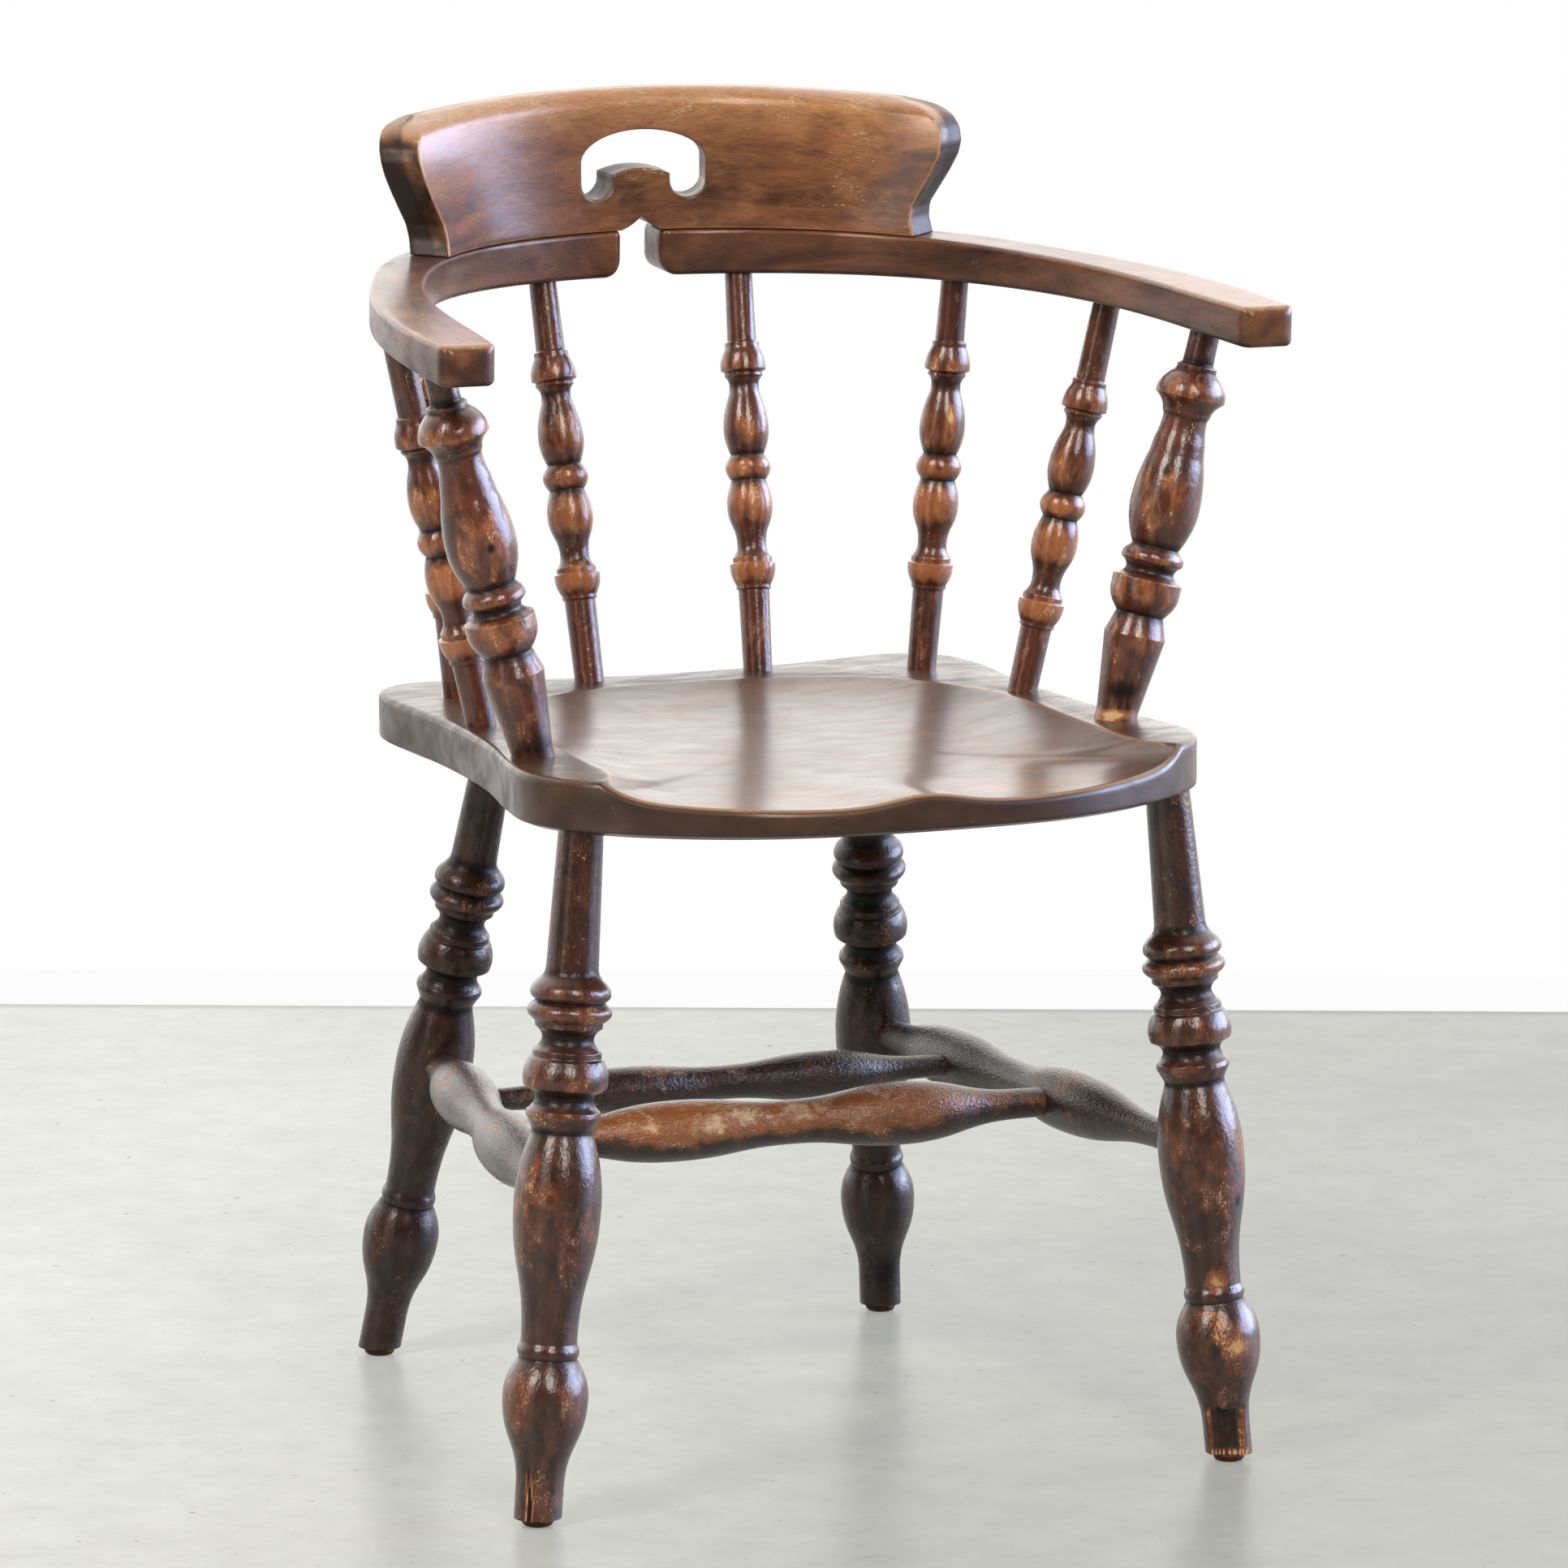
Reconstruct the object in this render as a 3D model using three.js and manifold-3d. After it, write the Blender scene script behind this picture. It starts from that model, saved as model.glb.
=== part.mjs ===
// Captain's chair (smoker's bow) in turned and sawn hardwood, in millimetres, +Z up.
// The origin is on the floor under the middle of the chair, -Y is the front.
import * as THREE from 'three';
import { mergeVertices } from 'three/addons/utils/BufferGeometryUtils.js';
import Module from 'manifold-3d';

const wasm = await Module();
wasm.setup();

// Fits and facets, shared by every piece.
const clearance = 0.3;        // gap between two pieces that seat on each other
const overrun = 10;           // how far a cutter runs past the face it cuts
const weldDistance = 0.001;   // corners closer than this are one corner
const strokeSteps = { line: 1, leave: 2, arrive: 2, swell: 4, bead: 3 };

// Seat: a plank with bowed front, waisted sides and a dished, saddled top.
const seat = {
  height: 453.5,              // floor to the flat rim
  width: 441,
  front: 266,                 // origin to the front edge
  back: 206.5,                // origin to the rear corners
  thickness: 34,
  slope: 0.0172,              // radians, falling towards the back
  topEase: 4.5,
  bevelFront: 3,              // height of the bevel under the edge
  bevelBack: 7,
  bevelRun: 2.6,              // how far it runs in for each millimetre of height
  rimWidth: 2.5,              // least flat left beside the hollow
  hollowDepth: 10.5,          // at the back
  lipDepth: 18.5,             // at the front edge
  pommelHeight: 7,
  pommelWidth: 27,
  pommelLength: 150,
  centreSetback: 20,          // the rings of the hollow start this far before the origin
  socketDepth: 21,
};
// Half outlines from the front to the back: across as a share of half the width, along as
// a share of the front or back reach.
const seatOutlineShares = [
  [0, -1], [0.435, -0.968], [0.733, -0.86], [0.93, -0.716], [1, -0.59], [0.987, -0.43],
  [0.932, -0.165], [0.911, 0.14], [0.912, 0.44], [0.922, 0.66], [0.913, 0.8], [0.868, 0.93],
  [0.76, 0.995], [0.59, 0.965], [0.33, 0.905], [0, 0.878],
];
// The edge of the hollow, which runs on past the front edge so that the hollow opens there.
const hollowShares = [
  [0, -1.75], [0.62, -1.5], [0.93, -1.08], [0.885, -0.83], [0.79, -0.67], [0.775, -0.435],
  [0.775, -0.165], [0.757, 0.09], [0.677, 0.34], [0.53, 0.54], [0.3, 0.65], [0, 0.68],
];
const hollowRingShares = [0.3, 0.56, 0.76, 0.9, 1];
const hollowSteepness = 4;
const seatSpokes = 52;

// Arm bow: two arms that meet, but for a gap, behind the sitter.
const bow = {
  height: 725,                // floor to the top of the arms above the origin
  slope: 0.0268,              // radians, rising towards the back
  innerRadius: 203,
  armWidth: 36,
  thickness: 23.5,            // where the arms are thinnest
  waistReach: 30,             // origin to that place
  thickening: 7.5,            // how much thicker they grow at the back
  setback: 27.5,              // centre of the bow behind the origin
  gap: 26.6,
  handReach: 172.5,           // origin to the front end of the arms
  handSpread: 559,            // over the outer edges of the front ends
  handWidth: 35,
  handRound: 9,
  gapRound: 6,
  gapUnderRound: 12.5,
  ease: 3,
  innerTurn: 1.05,            // radians round from the back where the inner arc ends
  outerTurn: 1.15,
};
const armHandleShares = { innerBack: 0.62, innerFront: 0.5, outerBack: 0.65, outerFront: 0.55 };
const armFlare = 0.13;        // slant of the inner edge at the hand
const armArcSteps = 8;
const armCurveSteps = 7;
const cornerSteps = 3;
const easeSteps = 1;

// Crest: a curved board on the bow, with ogee ends and a pierced hand-hold.
const crest = {
  height: 91,
  thickness: 27,
  halfLength: 181,            // along the face at the foot
  endDrop: 6.5,               // how far the top falls to the ends
  frontRound: 12,
  backRound: 9,
  endEase: 1.5,
  leanMiddle: 0.045,
  leanEnds: 0.28,
  ogeeSwing: 9,               // how far the ears stand out past the foot
  holdHalfWidth: 42.3,
  holdLobeRadius: 11.5,
  holdLobeHeight: 32,
  holdSpringHeight: 45,
  holdRise: 19.8,
  holdHookHeight: 36,
  holdArchHeight: 40,
  notchHalfWidth: 14,
  notchHeight: 8.6,
  notchShoulder: 2.2,
  dowelRadius: 5,
  dowelFacets: 8,
  dowelDepth: 16,
};
// Ogee of the ends: height share, then swing as a share of the ogee's swing.
const ogeeShares = [
  [0, 0], [0.12, -0.45], [0.22, -0.5], [0.34, 0], [0.46, 0.5], [0.6, 0.95], [0.72, 1],
  [0.84, 0.65], [0.92, -0.15], [0.97, -1.15], [1, -2.6],
];
const crestFaceShares = [0, 0.16, 0.34, 0.5, 0.66, 0.8];
const crestColumns = 20;
const dowelTurns = [0.16, 0.62];  // radians round the bow from the back
const holdSteps = 5;

// Turned pieces: fullest radius and flats round it. Their places on the seat and under the
// hands are shares of its half width and reach, and of the half hand spread and hand reach.
const leg = { radius: 26.8, facets: 9, tenonDepth: 20 };
const rearLegScale = 0.925;
const rearLegLift = 4.5;      // the rear legs' turning sits this much higher
const legPlaces = {
  front: { topShares: [0.877, -0.673], splay: [37, -24.6], stretcherHeight: 198 },
  rear: { topShares: [0.575, 0.754], splay: [50, 89], stretcherHeight: 201 },
};
const spindle = { radius: 14.7, facets: 8, tenonDepth: 16 };
const post = { radius: 22, facets: 9, tenonDepth: 17 };
// All the spindles are one pattern, made for the corners and cut to length at the top: the
// side ones lose some foot too. The back ones end on the bow, at a share of its inner turn.
const spindlePlaces = {
  corner: { baseShares: [0.72, 0.668], turnShare: 0.957, footCut: 0 },
  back: { baseShares: [0.263, 0.826], turnShare: 0.303, footCut: 0 },
  side: { baseShares: [0.83, 0.134], topShares: [0.857, 0.164], footCut: 10.5 },
};
const spindleArmShare = 0.36;        // across the arm from its inner edge
const postPlace = { baseShares: [0.879, -0.362], topShares: [0.911, -0.533] };
const sideStretcher = { radius: 20.2, facets: 8, tenonDepth: 14 };
const frontStretcher = { radius: 20, facets: 8, tenonDepth: 12 };
const rearStretcher = { radius: 15.6, facets: 8, tenonDepth: 12 };
const frontStretcherShare = 0.607;   // along the side stretchers, from the back
const rearStretcherShare = 0.3;
const glide = { facets: 8, radius: 9.8, height: 5, footRadius: 7.5, nailRadius: 1.3, nailLength: 13 };
const glidePlateShare = 0.55;

// Each row is one stroke of the turning tool: its kind, the radius it ends at as a share of
// the fullest radius, and the place it ends at as a share of the visible length. The first
// row gives the tenon that the piece starts with.
const legShares = [
  ['tenon', 0.55, 0], ['line', 0.55, 0.055], ['swell', 0.98, 0.188],
  ['leave', 0.66, 0.243], ['bead', 0.71, 0.263], ['line', 0.645, 0.266],
  ['swell', 1, 0.468], ['leave', 0.7, 0.568], ['line', 0.7, 0.573], ['line', 0.86, 0.593],
  ['line', 0.84, 0.6], ['arrive', 0.668, 0.617], ['leave', 0.95, 0.634],
  ['line', 0.98, 0.646], ['leave', 0.85, 0.674], ['line', 0.79, 0.677], ['line', 0.785, 0.686],
  ['arrive', 0.59, 0.704], ['leave', 0.72, 0.718], ['line', 0.77, 0.72], ['line', 0.78, 0.728],
  ['bead', 0.97, 0.757], ['arrive', 0.92, 0.768], ['swell', 0.6, 0.805], ['line', 0.515, 1],
];
const spindleShares = [
  ['tenon', 0.64, 0], ['line', 0.68, 0.205], ['line', 0.76, 0.207], ['line', 0.76, 0.217],
  ['arrive', 1, 0.262], ['line', 1, 0.271], ['line', 0.87, 0.274], ['line', 0.87, 0.287],
  ['arrive', 0.635, 0.319], ['swell', 1, 0.421], ['leave', 0.75, 0.486], ['bead', 1, 0.55],
  ['line', 0.72, 0.552], ['arrive', 1, 0.617], ['leave', 0.74, 0.7], ['arrive', 0.64, 0.728],
  ['leave', 0.87, 0.758], ['line', 1, 0.77], ['line', 1, 0.778],
  ['leave', 0.76, 0.83], ['line', 0.64, 0.848], ['line', 0.6, 1],
];
const postShares = [
  ['tenon', 0.6, 0], ['line', 0.6, 0.02], ['line', 0.885, 0.211],
  ['line', 0.68, 0.266], ['arrive', 1, 0.325], ['line', 1, 0.353], ['line', 0.97, 0.356],
  ['arrive', 0.69, 0.377], ['leave', 0.87, 0.399], ['line', 0.895, 0.403], ['line', 0.895, 0.409],
  ['leave', 0.665, 0.437], ['arrive', 1, 0.545], ['leave', 0.8, 0.668], ['line', 0.725, 0.71],
  ['arrive', 0.635, 0.768], ['line', 0.69, 0.777], ['leave', 0.9, 0.811], ['line', 1, 0.819],
  ['line', 1, 0.825], ['leave', 0.74, 0.874], ['line', 0.575, 0.886], ['line', 0.575, 0.898],
  ['line', 0.445, 0.905], ['line', 0.43, 1],
];
const sideStretcherShares = [
  ['tenon', 0.51, 0], ['swell', 0.98, 0.225], ['swell', 0.69, 0.45], ['swell', 1, 0.645],
  ['swell', 0.47, 0.96], ['line', 0.46, 1],
];
const crossStretcherShares = [
  ['tenon', 0.47, 0], ['swell', 0.96, 0.27], ['swell', 0.7, 0.5], ['swell', 1, 0.72],
  ['swell', 0.48, 0.96], ['line', 0.47, 1],
];

// Finishes: the same stained and varnished wood, paler where hands and feet have worn it.
const darkWood = new THREE.MeshStandardMaterial({ color: 0x3a1f14, roughness: 0.35 });
const seatWood = new THREE.MeshStandardMaterial({ color: 0x42261a, roughness: 0.32 });
const armWood = new THREE.MeshStandardMaterial({ color: 0x5a3018, roughness: 0.3 });
const bareWood = new THREE.MeshStandardMaterial({ color: 0xb88a5c, roughness: 0.7 });
const glideMetal = new THREE.MeshStandardMaterial({ color: 0x2a1815, roughness: 0.5, metalness: 0.6 });

// Joining and cutting

function toSolid(geometry, placement = new THREE.Matrix4()) {
  const bare = geometry.clone().applyMatrix4(placement);
  bare.deleteAttribute('normal');
  bare.deleteAttribute('uv');
  const welded = mergeVertices(bare, weldDistance);
  const index = welded.index.array;
  const corners = [];
  for (let i = 0; i < index.length; i += 3) {
    const [a, b, c] = index.slice(i, i + 3);
    if (a !== b && b !== c && c !== a) corners.push(a, b, c);
  }
  return new wasm.Manifold(new wasm.Mesh({
    numProp: 3,
    vertProperties: Float32Array.from(welded.attributes.position.array),
    triVerts: Uint32Array.from(corners),
  }));
}

function toGeometry(solid) {
  const { vertProperties, triVerts } = solid.getMesh();
  const geometry = new THREE.BufferGeometry();
  geometry.setAttribute('position', new THREE.BufferAttribute(vertProperties, 3));
  geometry.setIndex(new THREE.BufferAttribute(triVerts, 1));
  geometry.computeVertexNormals();
  return geometry;
}

function cut(piece, cutter, placement) {
  piece.geometry = toGeometry(toSolid(piece.geometry).subtract(toSolid(cutter, placement)));
}

// Bores the receiver along the axis of the piece that it takes, with the same flats.
function bore(receiver, taken, radius, from, to) {
  const drill = new THREE.CylinderGeometry(radius, radius, to - from, taken.userData.facets);
  drill.translate(0, (from + to) / 2, 0);
  cut(receiver, drill, receiver.matrixWorld.clone().invert().multiply(taken.matrixWorld));
}

// Turning

// 'line' is straight, 'leave' starts along the axis, 'arrive' ends along it, 'swell' does
// both, and 'bead' bulges to its radius and comes back.
function stroke(kind, start, radius, place) {
  const end = new THREE.Vector2(kind === 'bead' ? start.x : radius, place);
  const middle = (start.y + place) / 2;
  if (kind === 'leave') return new THREE.QuadraticBezierCurve(start, new THREE.Vector2(start.x, middle), end);
  if (kind === 'arrive') return new THREE.QuadraticBezierCurve(start, new THREE.Vector2(radius, middle), end);
  if (kind === 'bead') {
    return new THREE.QuadraticBezierCurve(start, new THREE.Vector2(2 * radius - start.x, middle), end);
  }
  if (kind === 'swell') {
    const leave = new THREE.Vector2(start.x, middle);
    return new THREE.CubicBezierCurve(start, leave, new THREE.Vector2(radius, middle), end);
  }
  return new THREE.LineCurve(start, end);
}

const tenonRadii = (shares, size) => [shares[0][1] * size.radius, shares.at(-1)[1] * size.radius];

// The profile starts with a plain tenon below zero and ends with one above the length. The
// pattern's own length and the part cut off its foot may differ from piece to piece.
function turn(shares, size, length, pattern = length, footCut = 0) {
  const [startRadius, endRadius] = tenonRadii(shares, size);
  let last = new THREE.Vector2(startRadius, 0);
  const profile = [new THREE.Vector2(0, -size.tenonDepth), new THREE.Vector2(startRadius, -size.tenonDepth), last];
  for (const [kind, radiusShare, placeShare] of shares.slice(1, -1)) {
    const curve = stroke(kind, last, radiusShare * size.radius, placeShare * pattern - footCut);
    profile.push(...curve.getPoints(strokeSteps[kind]).slice(1));
    last = profile.at(-1);
  }
  const end = length + (size.endDepth ?? size.tenonDepth);
  profile.push(new THREE.Vector2(endRadius, length), new THREE.Vector2(endRadius, end), new THREE.Vector2(0, end));
  return new THREE.LatheGeometry(profile, size.facets);
}

function standBetween(mesh, start, end) {
  const axis = end.clone().sub(start).normalize();
  mesh.quaternion.setFromUnitVectors(new THREE.Vector3(0, 1, 0), axis);
  mesh.position.copy(start);
  return mesh;
}

function named(name, geometry, material) {
  const mesh = new THREE.Mesh(geometry, material);
  mesh.name = name;
  return mesh;
}

// Heights of the tilted planes that the turnings run between.
const seatTopAt = (y) => seat.height - seat.slope * y;
const seatUnderAt = (y) => seatTopAt(y) - seat.thickness;
const bowBack = bow.setback + bow.innerRadius + bow.armWidth;
const armThicknessAt = (y) => bow.thickness
  + bow.thickening * ((y + bow.waistReach) / (bowBack + bow.waistReach)) ** 2;
const armUnderAt = (y) => bow.height + bow.slope * y - armThicknessAt(y);
const sides = { left: -1, right: 1 };

const bowPoint = (radius, turnBack) => new THREE.Vector2(
  radius * Math.sin(turnBack), bow.setback + radius * Math.cos(turnBack));
const seatPoint = ([across, along]) => new THREE.Vector2(
  across * seat.width / 2, along * (along < 0 ? seat.front : seat.back));
const armPoint = ({ turnShare, topShares }) => (topShares
  ? new THREE.Vector2(topShares[0] * bow.handSpread / 2, topShares[1] * bow.handReach)
  : bowPoint(bow.innerRadius + spindleArmShare * bow.armWidth, turnShare * bow.innerTurn));

// Seat

// Distance from the seat's centre to a closed line, for a direction given as an angle.
function reachOf(shares) {
  const half = shares.map(([across, along]) => new THREE.Vector3(
    across * seat.width / 2, along * (along < 0 ? seat.front : seat.back) + seat.centreSetback, 0));
  const mirrored = half.slice(1, -1).reverse().map((point) => new THREE.Vector3(-point.x, point.y, 0));
  const line = new THREE.CatmullRomCurve3([...half, ...mirrored], true, 'centripetal');
  const samples = line.getPoints(half.length * seatSpokes / 2)
    .map((point) => ({ angle: Math.atan2(point.y, point.x), reach: point.length() }))
    .sort((one, other) => one.angle - other.angle);
  return (angle) => {
    const after = samples.findIndex((sample) => sample.angle > angle);
    const next = samples[after < 0 ? 0 : after];
    const previous = samples.at((after < 0 ? 0 : after) - 1);
    const turnOf = (one, other) => (one - other + 2 * Math.PI) % (2 * Math.PI);
    const share = turnOf(angle, previous.angle) / turnOf(next.angle, previous.angle);
    return previous.reach + (next.reach - previous.reach) * share;
  };
}

function seatGeometry() {
  const outline = reachOf(seatOutlineShares);
  const hollow = reachOf(hollowShares);
  const depthAt = (angle, reach) => {
    const x = reach * Math.cos(angle);
    const y = reach * Math.sin(angle) - seat.centreSetback;
    const inward = Math.max(0, 1 - (reach / hollow(angle)) ** hollowSteepness);
    const forward = THREE.MathUtils.smoothstep(-y, -seat.back, seat.front);
    const bottom = THREE.MathUtils.lerp(seat.hollowDepth, seat.lipDepth, forward);
    const ridge = THREE.MathUtils.smoothstep(-y, seat.front - seat.pommelLength, seat.front);
    const pommel = seat.pommelHeight * ridge * Math.exp(-((x / seat.pommelWidth) ** 2));
    return Math.max(0, bottom * inward - pommel);
  };
  const positions = [0, -seat.centreSetback, -depthAt(0, 0)];
  const ringAt = (reachOn, heightOn) => {
    for (let spoke = 0; spoke < seatSpokes; spoke += 1) {
      const angle = (spoke / seatSpokes) * 2 * Math.PI - Math.PI;
      const reach = reachOn(angle);
      positions.push(reach * Math.cos(angle), reach * Math.sin(angle) - seat.centreSetback, heightOn(angle, reach));
    }
  };
  const flat = (angle) => outline(angle) - seat.topEase;
  const edge = (angle) => Math.min(hollow(angle), flat(angle) - seat.rimWidth);
  for (const share of hollowRingShares) {
    ringAt((angle) => share * edge(angle), (angle, reach) => -depthAt(angle, reach));
  }
  ringAt(flat, (angle, reach) => -depthAt(angle, reach));
  const slant = seat.topEase * (1 - Math.SQRT1_2);
  ringAt((angle) => outline(angle) - slant, (angle) => -depthAt(angle, flat(angle)) - slant);
  ringAt(outline, (angle) => -depthAt(angle, flat(angle)) - seat.topEase);
  const bevelAt = (angle) => THREE.MathUtils.mapLinear(Math.sin(angle), -1, 1, seat.bevelFront, seat.bevelBack);
  ringAt(outline, (angle) => bevelAt(angle) - seat.thickness);
  ringAt((angle) => outline(angle) - seat.bevelRun * bevelAt(angle), () => -seat.thickness);
  const index = [];
  for (let spoke = 0; spoke < seatSpokes; spoke += 1) index.push(0, 1 + spoke, 1 + ((spoke + 1) % seatSpokes));
  const rings = (positions.length / 3 - 1) / seatSpokes;
  for (let ring = 0; ring < rings - 1; ring += 1) {
    for (let spoke = 0; spoke < seatSpokes; spoke += 1) {
      const a = 1 + ring * seatSpokes + spoke;
      const b = 1 + ring * seatSpokes + ((spoke + 1) % seatSpokes);
      index.push(a, a + seatSpokes, b, b, a + seatSpokes, b + seatSpokes);
    }
  }
  const under = positions.length / 3;
  positions.push(0, -seat.centreSetback, -seat.thickness);
  const last = under - seatSpokes;
  for (let spoke = 0; spoke < seatSpokes; spoke += 1) index.push(under, last + ((spoke + 1) % seatSpokes), last + spoke);
  const geometry = new THREE.BufferGeometry();
  geometry.setAttribute('position', new THREE.Float32BufferAttribute(positions, 3));
  geometry.setIndex(index);
  geometry.computeVertexNormals();
  return geometry;
}

// Arm bow

function arcPoints(centre, radius, from, to, steps) {
  const points = [];
  for (let step = 0; step <= steps; step += 1) {
    const angle = from + ((to - from) * step) / steps;
    points.push(new THREE.Vector2(centre.x + radius * Math.cos(angle), centre.y + radius * Math.sin(angle)));
  }
  return points;
}

// Plan of the right-hand arm, from the gap round the inside to the hand and back outside.
function armOutline() {
  const outerRadius = bow.innerRadius + bow.armWidth;
  const length = bow.handReach + bow.setback;
  const hand = new THREE.Vector2(bow.handSpread / 2, -bow.handReach);
  const innerHand = new THREE.Vector2(hand.x - bow.handWidth, hand.y);
  const slantOf = (turnBack) => new THREE.Vector2(Math.cos(turnBack), -Math.sin(turnBack));
  const gapTurn = (radius) => Math.asin((bow.gap / 2 + bow.gapRound) / radius);
  const quarter = Math.PI / 2;
  const arc = (radius, from, to) => {
    const points = [];
    for (let step = 0; step <= armArcSteps; step += 1) {
      points.push(bowPoint(radius, from + ((to - from) * step) / armArcSteps));
    }
    return points;
  };
  const innerStart = bowPoint(bow.innerRadius, bow.innerTurn);
  const inner = new THREE.CubicBezierCurve(
    innerStart,
    innerStart.clone().addScaledVector(slantOf(bow.innerTurn), length * armHandleShares.innerBack),
    innerHand.clone().add(new THREE.Vector2(-armFlare, 1).multiplyScalar(length * armHandleShares.innerFront)),
    innerHand.clone().add(new THREE.Vector2(-armFlare, 1).multiplyScalar(bow.handRound)));
  const outerEnd = bowPoint(outerRadius, bow.outerTurn);
  const outer = new THREE.CubicBezierCurve(
    hand.clone().add(new THREE.Vector2(0, bow.handRound)),
    hand.clone().add(new THREE.Vector2(0, length * armHandleShares.outerFront)),
    outerEnd.clone().addScaledVector(slantOf(bow.outerTurn), length * armHandleShares.outerBack),
    outerEnd);
  const gapFace = bow.gap / 2;
  const innerGap = bowPoint(bow.innerRadius, gapTurn(bow.innerRadius));
  const outerGap = bowPoint(outerRadius, gapTurn(outerRadius));
  const cornerOf = (point, side) => new THREE.Vector2(gapFace + bow.gapRound, point.y + side * bow.gapRound);
  return [
    ...arc(bow.innerRadius, gapTurn(bow.innerRadius), bow.innerTurn),
    ...inner.getPoints(armCurveSteps).slice(1),
    ...arcPoints(new THREE.Vector2(innerHand.x + bow.handRound, hand.y + bow.handRound),
      bow.handRound, Math.PI, Math.PI + quarter, cornerSteps).slice(1),
    ...arcPoints(new THREE.Vector2(hand.x - bow.handRound, hand.y + bow.handRound),
      bow.handRound, -quarter, 0, cornerSteps),
    ...outer.getPoints(armCurveSteps).slice(1),
    ...arc(outerRadius, bow.outerTurn, gapTurn(outerRadius)).slice(1),
    ...arcPoints(cornerOf(outerGap, -1), bow.gapRound, quarter, Math.PI, cornerSteps).slice(1),
    ...arcPoints(cornerOf(innerGap, 1), bow.gapRound, Math.PI, Math.PI + quarter, cornerSteps).slice(0, -1),
  ];
}

function armGeometry(side) {
  const plan = new THREE.Shape(armOutline().map((point) => new THREE.Vector2(side * point.x, point.y)));
  const body = new THREE.ExtrudeGeometry(plan, {
    depth: bow.thickness - 2 * bow.ease,
    bevelThickness: bow.ease,
    bevelSize: bow.ease,
    bevelOffset: -bow.ease,
    bevelSegments: easeSteps,
  });
  body.translate(0, 0, bow.ease - bow.thickness);
  const corners = body.attributes.position;
  for (let corner = 0; corner < corners.count; corner += 1) {
    corners.setZ(corner, corners.getZ(corner) * armThicknessAt(corners.getY(corner)) / bow.thickness);
  }
  return body;
}

// What is cut away under the gap end of an arm to round its lower corner.
function underRound(side) {
  const face = bow.gap / 2;
  const radius = bow.gapUnderRound;
  const outline = new THREE.Shape();
  outline.moveTo(side * (face - overrun), -overrun);
  outline.lineTo(side * (face - overrun), radius);
  outline.lineTo(side * face, radius);
  for (const point of arcPoints(new THREE.Vector2(face + radius, radius), radius,
    Math.PI, 1.5 * Math.PI, cornerSteps + easeSteps).slice(1)) {
    outline.lineTo(side * point.x, point.y);
  }
  outline.lineTo(side * (face + radius), -overrun);
  const corner = new THREE.ExtrudeGeometry(outline, { depth: 2 * bow.innerRadius, bevelEnabled: false });
  return corner.rotateX(Math.PI / 2).translate(0, 2 * bowBack, -armThicknessAt(bowBack));
}

// Crest

function crestGeometry() {
  const swingAt = (share) => {
    const next = Math.max(1, ogeeShares.findIndex(([height]) => height >= share));
    const [low, lowSwing] = ogeeShares[next - 1];
    const [high, highSwing] = ogeeShares[next];
    return THREE.MathUtils.mapLinear(share, low, high, lowSwing, highSwing) * crest.ogeeSwing;
  };
  // One side of the board's section from the foot to the top: depth from the face, height share.
  const sideOf = (round, inset) => {
    const points = crestFaceShares.map((share) => [inset, share]);
    for (let step = 0; step <= cornerSteps; step += 1) {
      const angle = (Math.PI / 2) * (step / cornerSteps);
      const rise = crest.height - round * (1 - Math.sin(angle));
      points.push([Math.max(inset, round * (1 - Math.cos(angle))), rise / crest.height]);
    }
    return points;
  };
  const pointAt = (along, depth, share) => {
    const half = crest.halfLength + swingAt(share);
    const turnBack = (along * half) / bow.innerRadius;
    const height = share * (crest.height - crest.endDrop * along * along);
    const lean = THREE.MathUtils.lerp(crest.leanMiddle, crest.leanEnds, along * along);
    const place = bowPoint(bow.innerRadius + depth + lean * height, turnBack);
    return [place.x, place.y, height + clearance];
  };
  const positions = [];
  const columnAt = (along, inset) => {
    const front = sideOf(crest.frontRound, inset);
    const back = sideOf(crest.backRound, inset).map(([depth, share]) => [crest.thickness - depth, share]);
    for (const [depth, share] of [...front, ...back.reverse()]) positions.push(...pointAt(along, depth, share));
    return front.length;
  };
  const easeShare = crest.endEase / crest.halfLength;
  const places = [[-1, crest.endEase], [easeShare / 2 - 1, crest.endEase / 2]];
  for (let column = 0; column <= crestColumns; column += 1) {
    places.push([THREE.MathUtils.lerp(easeShare - 1, 1 - easeShare, column / crestColumns), 0]);
  }
  places.push([1 - easeShare / 2, crest.endEase / 2], [1, crest.endEase]);
  let sideCount = 0;
  for (const [along, inset] of places) sideCount = columnAt(along, inset);
  const loop = 2 * sideCount;
  const index = [];
  for (let column = 0; column < places.length - 1; column += 1) {
    for (let step = 0; step < loop; step += 1) {
      const a = column * loop + step;
      const b = column * loop + ((step + 1) % loop);
      index.push(a, a + loop, b, b, a + loop, b + loop);
    }
  }
  const far = (places.length - 1) * loop;
  for (let step = 0; step < sideCount - 1; step += 1) {
    const across = loop - 1 - step;
    index.push(step, step + 1, across, step + 1, across - 1, across);
    index.push(far + step, far + across, far + step + 1, far + step + 1, far + across, far + across - 1);
  }
  const geometry = new THREE.BufferGeometry();
  geometry.setAttribute('position', new THREE.Float32BufferAttribute(positions, 3));
  geometry.setIndex(index);
  geometry.computeVertexNormals();
  return geometry;
}

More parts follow.
